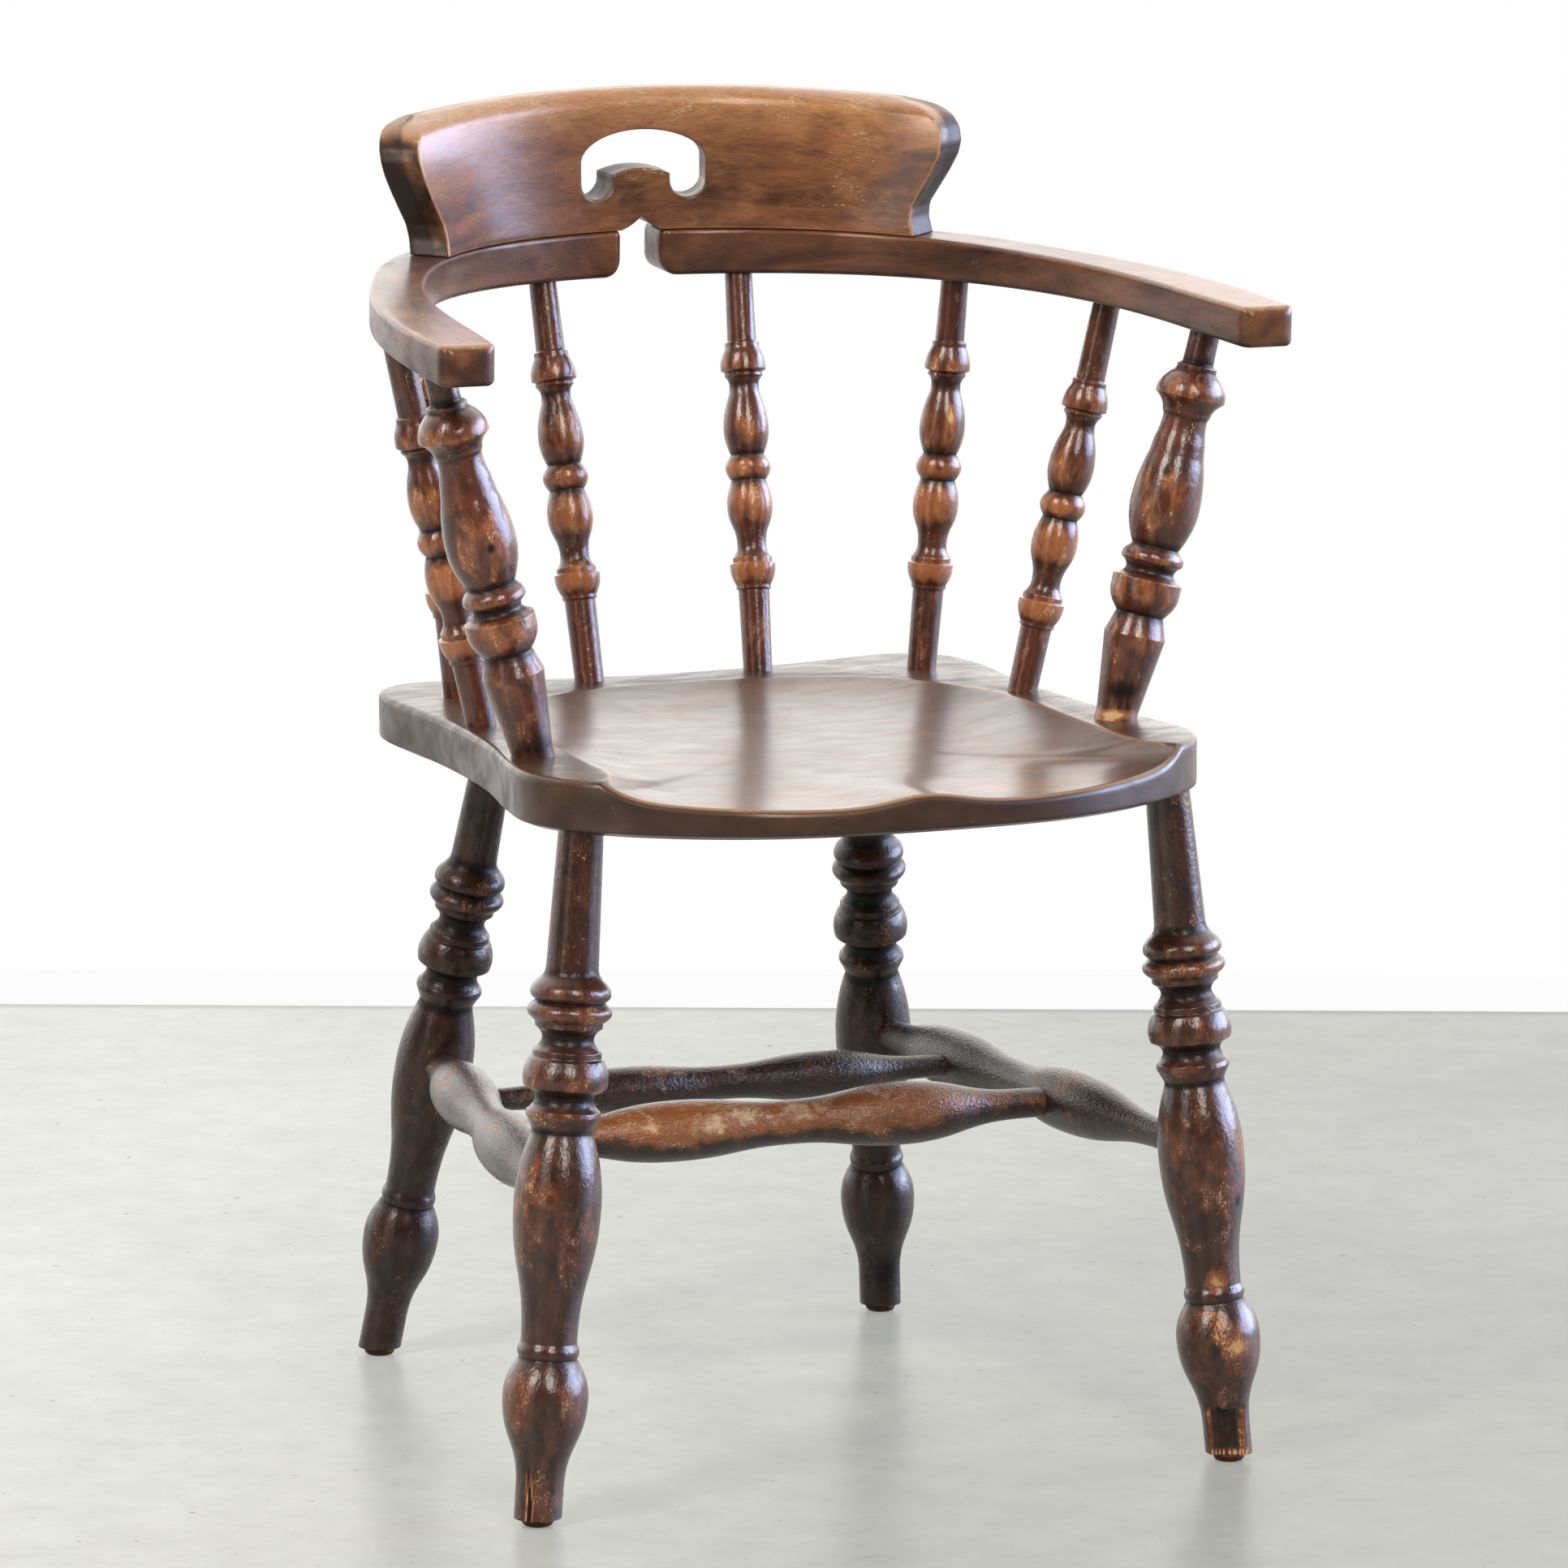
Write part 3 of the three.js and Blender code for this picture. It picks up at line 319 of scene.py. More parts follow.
seat = {
    "height": 453.5, "width": 441, "front": 266, "back": 206.5, "thickness": 34, "slope": 0.0172,
    "topEase": 4.5, "bevelFront": 3, "bevelBack": 7, "bevelRun": 2.6, "rimWidth": 2.5,
    "hollowDepth": 10.5, "lipDepth": 18.5, "pommelHeight": 7, "pommelWidth": 32, "pommelLength": 150,
    "centreSetback": 20, "spokes": 360,
    # How worn, and how dark with dirt and painted shade, its places are.
    "wear": {"dished": 0.2, "arris": 0.62, "lip": 0.95, "top": 0.1, "edge": 0.12},
    "grimeAndShade": {"edge": 0.46, "under": 0.3, "rim": 0.55, "hollowRim": 0.2, "back": 0.16},
    # Half outlines from front to back: shares of the half width and of the front or back reach.
    "outline": [
        (0, -1), (0.435, -0.968), (0.733, -0.86), (0.93, -0.716), (1, -0.59), (0.987, -0.43),
        (0.932, -0.165), (0.911, 0.14), (0.912, 0.44), (0.922, 0.66), (0.913, 0.8), (0.868, 0.93),
        (0.76, 0.995), (0.59, 0.965), (0.33, 0.905), (0, 0.878)],
    "hollow": [
        (0, -1.75), (0.62, -1.5), (0.93, -1.08), (0.885, -0.83), (0.79, -0.67), (0.775, -0.435),
        (0.775, -0.165), (0.757, 0.09), (0.677, 0.34), (0.53, 0.54), (0.3, 0.65), (0, 0.68)],
}


def seatTopAt(y):
    return seat["height"] - seat["slope"] * y


def seatPoint(shares):
    across, along = shares
    return Vector((across * seat["width"] / 2, along * (seat["front"] if along < 0 else seat["back"])))


# Closed centripetal curve through the points.
def throughPoints(points, steps):
    points = np.asarray(points, dtype=float)
    count = len(points)
    line = []
    for at in range(count):
        p0, p1, p2, p3 = (points[(at + shift) % count] for shift in (-1, 0, 1, 2))
        d0, d1, d2 = (math.sqrt(np.linalg.norm(b - a)) for a, b in ((p0, p1), (p1, p2), (p2, p3)))
        leave = ((p1 - p0) / d0 - (p2 - p0) / (d0 + d1) + (p2 - p1) / d1) * d1
        arrive = ((p2 - p1) / d1 - (p3 - p1) / (d1 + d2) + (p3 - p2) / d2) * d1
        for t in np.linspace(0, 1, steps, endpoint=False):
            line.append(p1 + leave * t + (3 * (p2 - p1) - 2 * leave - arrive) * t * t
                        + (2 * (p1 - p2) + leave + arrive) * t ** 3)
    return np.array(line)


# Distance from the seat's centre to a closed line, for each angle.
def reachOf(shares, angles):
    half = [(p.x, p.y + seat["centreSetback"]) for p in (seatPoint(pair) for pair in shares)]
    line = throughPoints(half + [(-x, y) for x, y in reversed(half[1:-1])], 60)
    turns = np.arctan2(line[:, 1], line[:, 0])
    order = np.argsort(turns)
    reaches = np.hypot(line[:, 0], line[:, 1])[order]
    return np.interp(angles, turns[order], reaches, period=2 * math.pi)


# Worn where people sit and slide off the front, dirty where nothing rubs: round the hollow and at
# the edges. Painted shade lies underneath and in the bands either side of the hollow's edge, which
# also hold dirt; the pale lines on that edge and on the front lip are wear and a painted highlight.
# Share: how far out, the hollow's rim being 1. OnTop: 1 to -1, going down.
def paintSeat(points, share, onTop):
    x, y, z = points.T
    top = onTop > 0.5
    # Arris and lip: wear, with a painted highlight along the hollow's edge and along the front lip.
    wear = layered(seat["wear"], {
        "dished": (onTop > 0.99) * (1 - smoothStep(share, 0.55, 0.98)),
        "arris": np.exp(-((share - 0.998) / 0.014) ** 2) * top * smoothStep(-y, -150, -40),
        "lip": np.exp(-((onTop - 0.7) / 0.2) ** 2) * smoothStep(-y, 170, 235) * (np.abs(x) < 190),
        "top": top, "edge": np.abs(onTop) < 0.5})
    # Rim and hollowRim: dirt with painted shade either side of the hollow's edge. Under: painted shade.
    grimeAndShade = layered(seat["grimeAndShade"], {
        "edge": ~top & (onTop > -0.4), "under": onTop <= -0.4,
        "rim": top * smoothStep(share, 0.985, 1.04) * (1 - 0.5 * smoothStep(share, 1.05, 1.2)),
        "hollowRim": (onTop > 0.99) * np.exp(-((share - 0.95) / 0.035) ** 2) * smoothStep(-y, -190, -60),
        "back": top * (share > 0.95) * smoothStep(y, 60, 190)})
    grainPlace = np.stack([y, z, x], axis=1) * metre
    return {"grainPlace": grainPlace, "wear": wear, "grimeAndShade": grimeAndShade}


def buildSeat():
    spokes = seat["spokes"]
    angles = np.arange(spokes) / spokes * 2 * math.pi - math.pi
    outline = reachOf(seat["outline"], angles)
    hollow = reachOf(seat["hollow"], angles)

    def depthAt(reach):
        x, y = reach * np.cos(angles), reach * np.sin(angles) - seat["centreSetback"]
        inward = np.maximum(0, 1 - (reach / hollow) ** 4)
        forward = smoothStep(-y, -seat["back"], seat["front"])
        bottom = seat["hollowDepth"] + (seat["lipDepth"] - seat["hollowDepth"]) * forward
        ridge = smoothStep(-y, seat["front"] - seat["pommelLength"], seat["front"])
        pommel = seat["pommelHeight"] * ridge * np.exp(-((x / seat["pommelWidth"]) ** 2))
        return np.maximum(0, bottom * inward - pommel)

    rings, inside = [], []

    def ringAt(reach, height, onTop=1.0):
        rings.append(np.stack([reach * np.cos(angles), reach * np.sin(angles) - seat["centreSetback"],
                               height + 0 * angles], axis=1))
        inside.append(np.stack([reach / hollow, onTop + 0 * angles], axis=1))

    flat = outline - seat["topEase"]
    edge = np.minimum(hollow, flat - seat["rimWidth"])
    for share in 1 - (1 - np.linspace(0.004, 1, 46)) ** 1.6:  # closer together towards the rim
        ringAt(share * edge, -depthAt(share * edge))
    for share in (0.1, 0.3, 0.6, 1):
        reach = edge + (flat - edge) * share
        ringAt(reach, -depthAt(reach))
    rim = depthAt(flat)
    for share in (0.2, 0.4, 0.6, 0.8, 1):
        turn = share * math.pi / 2
        ringAt(flat + seat["topEase"] * math.sin(turn), -rim - seat["topEase"] * (1 - math.cos(turn)), 1 - share)
    bevel = seat["bevelFront"] + (seat["bevelBack"] - seat["bevelFront"]) * (np.sin(angles) + 1) / 2
    top = -rim - seat["topEase"]
    for share in (0.15, 0.35, 0.55, 0.75, 0.92):
        ringAt(outline, top + (bevel - seat["thickness"] - top) * share, 0)
    ringAt(outline - 0.2, bevel - seat["thickness"], -0.2)
    ringAt(outline - 1.2, bevel - seat["thickness"] - 0.6, -0.5)
    for share in (0.25, 0.5, 0.75, 0.96):
        ringAt(outline - seat["bevelRun"] * bevel * share, (1 - share) * bevel - seat["thickness"], -1)
    under = outline - seat["bevelRun"] * bevel
    for share in (1, 0.93, 0.8, 0.6, 0.4, 0.2, 0.02):
        ringAt(under * share, -seat["thickness"], -1)
    points = np.concatenate(rings)
    faces = [(a, a + spokes, b + spokes, b) for a, b in neighbours(len(rings), spokes)]
    last = (len(rings) - 1) * spokes
    faces.append(tuple(range(spokes)))
    faces.append(tuple(last + spoke for spoke in reversed(range(spokes))))
    share, onTop = np.concatenate(inside).T
    placed = tilted(points, -seat["slope"], seat["height"])
    mesh = meshFrom("seatDished", placed, faces, paintSeat(points, share, onTop))
    return addPiece("seatDished", mesh, "seat", woods["scrapedElm"])


buildSeat()
print("seat")

# Arm bow: two arms that meet, but for a gap, behind the sitter

bow = {
    "height": 725, "slope": 0.0268, "innerRadius": 203, "armWidth": 36, "thickness": 23.5,
    "waistReach": 30, "thickening": 7.5, "setback": 27.5, "gap": 26.6, "handReach": 172.5,
    "handSpread": 559, "handWidth": 35, "handRound": 9, "handTopRound": 7, "gapRound": 6, "gapUnderRound": 12.5,
    "ease": 3.4, "innerTurn": 1.05, "outerTurn": 1.15, "flare": 0.13,
    "innerBack": 0.62, "innerFront": 0.5, "outerBack": 0.65, "outerFront": 0.55,
    "wear": {"top": 0.1, "hand": 0.34, "sides": 0.02, "tip": 0.12},
    "grimeAndShade": {"sides": 0.32, "under": 0.2, "back": 0.32},
}


def bowPoint(radius, turn):
    return Vector((radius * math.sin(turn), bow["setback"] + radius * math.cos(turn)))


def armThicknessAt(y):
    reach = bow["setback"] + bow["innerRadius"] + bow["armWidth"] + bow["waistReach"]
    return bow["thickness"] + bow["thickening"] * ((y + bow["waistReach"]) / reach) ** 2


def armUnderAt(y):
    return bow["height"] + bow["slope"] * y - armThicknessAt(y)


# Evenly spaced points along a line, with the distance that each lies along it.
def evenly(line, count):
    line = np.asarray(line, dtype=float)
    lengths = np.concatenate([[0], np.cumsum(np.linalg.norm(np.diff(line, axis=0), axis=1))])
    at = np.linspace(0, lengths[-1], count)
    return np.stack([np.interp(at, lengths, line[:, axis]) for axis in range(line.shape[1])], axis=1), at


def bezier(points, steps):
    p0, p1, p2, p3 = (np.array(point) for point in points)
    return [(1 - t) ** 3 * p0 + 3 * (1 - t) ** 2 * t * p1 + 3 * (1 - t) * t * t * p2 + t ** 3 * p3
            for t in np.linspace(0, 1, steps)]


# The right-hand arm's inner and outer edges, from the gap to the front end.
def armEdges():
    outerRadius = bow["innerRadius"] + bow["armWidth"]
    length = bow["handReach"] + bow["setback"]
    hand = Vector((bow["handSpread"] / 2, -bow["handReach"]))
    innerHand = hand - Vector((bow["handWidth"], 0))
    lead = Vector((-bow["flare"], 1))
    edges = []
    for radius, turn, corner, run, backShare, frontShare in (
            (bow["innerRadius"], bow["innerTurn"], innerHand, lead, "innerBack", "innerFront"),
            (outerRadius, bow["outerTurn"], hand, Vector((0, 1)), "outerBack", "outerFront")):
        start = math.asin(bow["gap"] / 2 / radius)
        arc = [bowPoint(radius, turnBack) for turnBack in np.linspace(start, turn, 60)]
        slant = Vector((math.cos(turn), -math.sin(turn)))
        end = corner + run * bow["handRound"] if run.x else corner + Vector((0, bow["handRound"]))
        curve = bezier([arc[-1], arc[-1] + slant * length * bow[backShare],
                        corner + run * length * bow[frontShare], end], 60)
        edges.append([tuple(point) for point in arc] + [tuple(point) for point in curve[1:]] + [tuple(corner)])
    return edges


def cornerLoss(distance, radius):
    return radius - math.sqrt(max(0, radius ** 2 - max(0, radius - distance) ** 2))


def buildArm(side):
    inner, outer = armEdges()
    stations, samples = 190, 800
    # Stations crowd towards the two rounded ends.
    crowd = np.linspace(0, 1, stations)
    crowd = crowd - 0.075 * np.sin(2 * math.pi * crowd) - 0.02 * np.sin(4 * math.pi * crowd)
    (innerLine, innerAt), (outerLine, outerAt) = evenly(inner, samples), evenly(outer, samples)
    sample = lambda line, at: np.array([np.interp(at, np.linspace(0, 1, samples), line[:, k]) for k in (0, 1)])
    ease = bow["ease"]
    span = (innerAt[-1] + outerAt[-1]) / 2
    points, places = [], []
    for at in crowd:
        inside, outside = sample(innerLine, at), sample(outerLine, at)
        fromGap, fromHand = at * span, (1 - at) * span
        across = (outside - inside) / np.linalg.norm(outside - inside)
        width = np.linalg.norm(outside - inside)
        narrow = cornerLoss(fromGap, bow["gapRound"]) + cornerLoss(fromHand, bow["handRound"])
        drop = cornerLoss(fromGap, ease) + cornerLoss(fromHand, bow["handTopRound"])
        lift = cornerLoss(fromGap, bow["gapUnderRound"]) + cornerLoss(fromHand, ease)
        low, high = narrow, width - narrow
        section = []
        middleY = (inside[1] + outside[1]) / 2
        thick = armThicknessAt(middleY)
        top, bottom = -drop, -thick + lift
        for cornerX, cornerZ, first in ((high - ease, top - ease, 0), (low + ease, top - ease, 90),
                                        (low + ease, bottom + ease, 180), (high - ease, bottom + ease, 270)):
            for turn in range(0, 91, 18):
                angle = math.radians(first + turn)
                section.append((cornerX + ease * math.cos(angle), cornerZ + ease * math.sin(angle)))
            nextX, nextZ = {0: (low + ease, top), 90: (low, bottom + ease), 180: (high - ease, bottom),
                            270: (high, top - ease)}[first]
            lastX, lastZ = section[-1]
            pieces = 7 if first in (0, 180) else 4
            section += [(lastX + (nextX - lastX) * k / pieces, lastZ + (nextZ - lastZ) * k / pieces)
                        for k in range(1, pieces)]
        loop = len(section)
        for u, z in section:
            spot = inside + across * u
            points.append((spot[0], spot[1], z))
            places.append((u / width, z / thick, at * span, fromHand))
    faces = [(a, b, b + loop, a + loop) for a, b in neighbours(stations, loop)]
    faces.append(tuple(reversed(range(loop))))
    faces.append(tuple((stations - 1) * loop + step for step in range(loop)))
    if side == "left":
        faces = [tuple(reversed(face)) for face in faces]
    points = np.array(points)
    u, z, s, fromHand = np.array(places).T
    points[:, 0] *= sides[side]
    upward = smoothStep(z, -0.16, -0.02)
    hand = 1 - smoothStep(fromHand, 60, 330)
    wear = layered(bow["wear"], {
        "top": upward, "hand": upward * hand, "sides": 1 - upward, "tip": 1 - smoothStep(fromHand, 2, 16)})
    # Sides: dirt and painted shade. Under: painted shade. Back: the tops made darker towards the gap.
    grimeAndShade = layered(bow["grimeAndShade"], {
        "sides": 1 - upward, "under": (1 - upward) * (z < -0.9), "back": upward * (1 - smoothStep(s, 120, 330))})
    grainPlace = np.stack([u * 36, z * 25, s + 700 * (side == "left")], axis=1) * metre
    name = f"arm{side.capitalize()}"
    mesh = meshFrom(name, tilted(points, bow["slope"], bow["height"]), faces,
                    {"grainPlace": grainPlace, "wear": wear, "grimeAndShade": grimeAndShade})
    return addPiece(name, mesh, f"arm_{side}", woods["handledBeech"])


for side in sides:
    buildArm(side)
print("arms")

# Crest: a curved board on the bow, with ogee ends and a pierced hand-hold

crest = {
    "height": 91, "thickness": 27, "halfLength": 181, "endDrop": 6.5, "frontRound": 12, "backRound": 9,
    "leanMiddle": 0.045, "leanEnds": 0.28, "ogeeSwing": 9, "holdHalfWidth": 42.3, "holdLobeRadius": 11.5,
    "holdLobeHeight": 32, "holdSpringHeight": 45, "holdRise": 19.8, "holdHookHeight": 36,
    "holdArchHeight": 40, "notchHalfWidth": 14, "notchHeight": 8.6, "notchShoulder": 2.2, "ease": 1.3,
    # Ogee of the ends: height share, swing share.
    "ogee": [(0, 0), (0.12, -0.45), (0.22, -0.5), (0.34, 0), (0.46, 0.5), (0.6, 0.95), (0.7, 1),
             (0.8, 0.72), (0.88, 0.15), (0.94, -0.75), (0.975, -1.8), (1, -3.4)],
    "wear": {"face": 0.29, "upper": 0.3, "rolled": 0.24, "arris": 0.5},
    "grimeAndShade": {"ends": 0.6, "sawn": 0.5, "scorched": 0.5, "back": 0.3, "low": 0.06},
}


def ogeeSwingAt(share):
    heights, swings = zip(*crest["ogee"])
    near = [np.interp(np.clip(share + shift, 0, 1), heights, swings) for shift in np.linspace(-0.02, 0.02, 5)]
    return crest["ogeeSwing"] * np.mean(near, axis=0)


def quadratic(start, control, end, steps):
    start, control, end = (np.array(point, dtype=float) for point in (start, control, end))
    return [(1 - t) ** 2 * start + 2 * t * (1 - t) * control + t * t * end for t in np.linspace(0, 1, steps)]


def arcLine(centre, radius, first, last, steps, rise=None):
    return [np.array((centre[0] + radius * math.cos(turn), centre[1] + (rise or radius) * math.sin(turn)))
            for turn in np.linspace(first, last, steps)]


# Outline and hand-hold as flat closed lines: along the face, and up it.
def crestLines():
    height = crest["height"]
    ends = [(crest["halfLength"] + float(ogeeSwingAt(share)), share * height) for share in np.linspace(0, 1, 90)]
    notch = quadratic((-crest["notchHalfWidth"], 0), (-crest["notchHalfWidth"] / 2, crest["notchShoulder"]),
                      (0, crest["notchHeight"]), 9)
    notch += quadratic((0, crest["notchHeight"]), (crest["notchHalfWidth"] / 2, crest["notchShoulder"]),
                       (crest["notchHalfWidth"], 0), 9)[1:]
    outline = [np.array(point) for point in ends]
    outline += [np.array((-x, q)) for x, q in reversed(ends)]
    outline += notch
    lobe, spring = crest["holdLobeRadius"], crest["holdSpringHeight"]
    lobeX = crest["holdHalfWidth"] - lobe
    hook = (lobeX - lobe, crest["holdHookHeight"])
    hold = arcLine((0, spring), crest["holdHalfWidth"], 0, math.pi, 60, crest["holdRise"])
    hold += arcLine((-lobeX, crest["holdLobeHeight"]), lobe, math.pi, 2 * math.pi, 26)
    hold += quadratic((-hook[0], hook[1]), (0, 2 * crest["holdArchHeight"] - hook[1]), hook, 24)
    hold += arcLine((lobeX, crest["holdLobeHeight"]), lobe, math.pi, 2 * math.pi, 26)
    return outline, hold


# Moves a closed line sideways by a distance, to its left where that is positive.
def offsetLine(line, distance):
    line = np.asarray(line)
    before, after = line - np.roll(line, 1, axis=0), np.roll(line, -1, axis=0) - line
    unit = lambda v: v / np.maximum(np.linalg.norm(v, axis=1, keepdims=True), 1e-9)
    one, other = unit(before), unit(after)
    normal = unit(np.stack([-(one + other)[:, 1], (one + other)[:, 0]], axis=1))
    stretch = 1 / np.clip(np.sum(normal * np.stack([-one[:, 1], one[:, 0]], axis=1), axis=1), 0.5, 1)
    return line + normal * distance * stretch[:, None]


def cleanLine(line, spacing):
    kept = [line[0]]
    for point in line[1:]:
        if np.linalg.norm(point - kept[-1]) > 0.05:
            kept.append(point)
    filled = []
    for start, end in zip(kept, kept[1:] + kept[:1]):
        count = max(1, int(np.linalg.norm(end - start) / spacing))
        filled += [start + (end - start) * k / count for k in range(count)]
    return filled


# Where a point of the flat board lies on the bow.
def bendCrest(s, q, depth):
    height = crest["height"]
    share = q / height
    half = crest["halfLength"] + ogeeSwingAt(share)
    along = np.clip(s / half, -1, 1)
    rise = share * (height - crest["endDrop"] * along ** 2)
    lean = crest["leanMiddle"] + (crest["leanEnds"] - crest["leanMiddle"]) * along ** 2
    rolls = []
    for radius in (crest["frontRound"], crest["backRound"]):
        over = np.clip(q - (height - radius), 0, radius)
        rolls.append(radius - np.sqrt(radius ** 2 - over ** 2))
    part = depth / crest["thickness"]
    depth = rolls[0] * (1 - part) + (crest["thickness"] - rolls[1]) * part
    turn = s / bow["innerRadius"]
    radius = bow["innerRadius"] + depth + lean * rise
    return np.stack([radius * np.sin(turn), bow["setback"] + radius * np.cos(turn), rise + clearance], axis=1)


# Rubbed by hands along the top and on the face, dark on the ends, at the back and low down.
def paintCrest(s, q, depth):
    thickness, ease = crest["thickness"], crest["ease"]
    toEnd = crest["halfLength"] + ogeeSwingAt(q / crest["height"]) - np.abs(s)
    front = depth < thickness / 2
    onFace = (depth < ease * 0.9) | (depth > thickness - ease * 0.9)
    rolled = smoothStep(q, 74, 84)
    endFace = (toEnd < 1.0) & ~onFace
    wear = layered(crest["wear"], {
        "face": 1, "upper": smoothStep(q, 50, 82), "rolled": rolled,
        "arris": (depth > 0.05) & (depth < ease * 1.1) & (np.minimum(toEnd, q) < 1.5) & (rolled < 0.5)})
    grimeAndShade = layered(crest["grimeAndShade"], {
        "ends": endFace * (1 - rolled), "sawn": ~onFace & (q > 3) & (rolled < 0.2) & ~endFace,
        "scorched": front * np.exp(-(((s - 163) / 15) ** 2 + ((q - 79) / 6) ** 2)), "back": ~front,
        "low": (1 - smoothStep(q, 2, 45)) + 0.6 * (1 - smoothStep(toEnd, 4, 60))})
    grainPlace = np.stack([q, depth, s], axis=1) * metre
    return {"grainPlace": grainPlace, "wear": wear, "grimeAndShade": grimeAndShade}


def buildCrest():
    outline, hold = (cleanLine(line, 2.0) for line in crestLines())
    # The hold's outline is given in front view, so it is wrapped round the face first.
    hold = [np.array((bow["innerRadius"] * math.asin(x / (bow["innerRadius"] + crest["leanMiddle"] * q)), q))
            for x, q in hold]
    thickness, ease = crest["thickness"], crest["ease"]
    steps = [(ease * (1 - math.sin(turn)), ease * (1 - math.cos(turn))) for turn in np.radians([0, 30, 60, 90])]
    layers = steps + [(0, thickness * share) for share in (0.2, 0.35, 0.5, 0.65, 0.8)]
    layers += [(inset, thickness - depth) for inset, depth in reversed(steps)]
    build = bmesh.new()
    edgeLoops = []
    for line, inward in ((outline, 1), (hold, -1)):
        loops = []
        for inset, depth in layers:
            flat = offsetLine(line, inward * inset)
            loops.append([build.verts.new((x, q, depth)) for x, q in flat])
        for one, other in zip(loops, loops[1:]):
            for k in range(len(one)):
                after = (k + 1) % len(one)
                build.faces.new((one[k], one[after], other[after], other[k]))
        edgeLoops.append((loops[0], loops[-1]))
    for end in (0, 1):
        rim = []
        for pair in edgeLoops:
            loop = pair[end]
            rim += [build.edges.get((loop[k], loop[(k + 1) % len(loop)])) for k in range(len(loop))]
        bmesh.ops.triangle_fill(build, edges=rim, use_beauty=True)
    # Cuts across and along, so that the flat board can bend.
    cuts = [((s, 0, 0), (1, 0, 0)) for s in np.arange(-195, 196, 3.0)]
    cuts += [((0, q, 0), (0, 1, 0)) for q in [*np.arange(4, 78, 4.0), *np.arange(78.5, 91, 1.0)]]
    for spot, way in cuts:
        cutShape(build, spot, way, dist=0.02)
    bmesh.ops.recalc_face_normals(build, faces=build.faces[:])
    flat = np.array([vertex.co[:] for vertex in build.verts])
    mesh = bpy.data.meshes.new("crestBoard")
    s, q, depth = flat.T
    placed = tilted(bendCrest(s, q, depth), bow["slope"], bow["height"]) * metre
    for vertex, point in zip(build.verts, placed):
        vertex.co = point
    bmesh.ops.recalc_face_normals(build, faces=build.faces[:])
    build.to_mesh(mesh)
    build.free()
    mesh.polygons.foreach_set("use_smooth", [True] * len(mesh.polygons))
    setAttributes(mesh, paintCrest(s, q, depth))
    return addPiece("crestBoard", mesh, "crest_rail", woods["handledBeech"])


buildCrest()
print("crest")

# Turned pieces

# Each row is one stroke of the turning tool: its kind, the radius it ends at as a share of
# the fullest radius, and the place it ends at as a share of the visible length.
profiles = {
    "leg": [
        ("tenon", 0.55, 0), ("line", 0.55, 0.055), ("swell", 0.98, 0.188),
        ("leave", 0.66, 0.243), ("bead", 0.71, 0.263), ("line", 0.645, 0.266),
        ("swell", 1, 0.468), ("leave", 0.7, 0.568), ("line", 0.7, 0.573), ("line", 0.86, 0.593),
        ("line", 0.84, 0.6), ("arrive", 0.668, 0.617), ("leave", 0.95, 0.634),
        ("line", 0.98, 0.646), ("leave", 0.85, 0.674), ("line", 0.79, 0.677), ("line", 0.785, 0.686),
        ("arrive", 0.59, 0.704), ("leave", 0.72, 0.718), ("line", 0.77, 0.72), ("line", 0.78, 0.728),
        ("bead", 0.97, 0.757), ("arrive", 0.92, 0.768), ("swell", 0.6, 0.805), ("line", 0.515, 1)],
    "spindle": [
        ("tenon", 0.64, 0), ("line", 0.68, 0.205), ("line", 0.76, 0.207), ("line", 0.76, 0.217),
        ("arrive", 1, 0.262), ("line", 1, 0.271), ("line", 0.87, 0.274), ("line", 0.87, 0.287),
        ("arrive", 0.635, 0.319), ("swell", 1, 0.421), ("leave", 0.75, 0.486), ("bead", 1, 0.55),
        ("line", 0.72, 0.552), ("arrive", 1, 0.617), ("leave", 0.74, 0.7), ("arrive", 0.64, 0.73),
        ("leave", 0.8, 0.751), ("line", 0.84, 0.753), ("line", 0.84, 0.76), ("line", 0.8, 0.762),
        ("line", 0.98, 0.767), ("line", 1, 0.77), ("line", 1, 0.777), ("leave", 0.78, 0.824),
        ("line", 0.76, 0.828), ("line", 0.75, 0.839), ("line", 0.64, 0.843), ("line", 0.6, 1)],
    "post": [
        ("tenon", 0.6, 0), ("line", 0.6, 0.02), ("line", 0.885, 0.211),
        ("line", 0.68, 0.266), ("arrive", 1, 0.325), ("line", 1, 0.353), ("line", 0.97, 0.356),
        ("arrive", 0.69, 0.377), ("leave", 0.87, 0.399), ("line", 0.895, 0.403), ("line", 0.895, 0.409),
        ("leave", 0.665, 0.437), ("arrive", 1, 0.545), ("leave", 0.8, 0.668), ("line", 0.725, 0.71),
        ("arrive", 0.635, 0.768), ("line", 0.69, 0.777), ("leave", 0.9, 0.811), ("line", 1, 0.819),
        ("line", 1, 0.825), ("leave", 0.74, 0.874), ("line", 0.575, 0.886), ("line", 0.575, 0.898),
        ("line", 0.445, 0.905), ("line", 0.43, 1)],
    "sideStretcher": [
        ("tenon", 0.51, 0), ("swell", 0.98, 0.225), ("swell", 0.69, 0.45), ("swell", 1, 0.645),
        ("swell", 0.47, 0.96), ("line", 0.46, 1)],
    "crossStretcher": [
        ("tenon", 0.47, 0), ("swell", 0.96, 0.27), ("swell", 0.7, 0.5), ("swell", 1, 0.72),
        ("swell", 0.48, 0.96), ("line", 0.47, 1)],
}


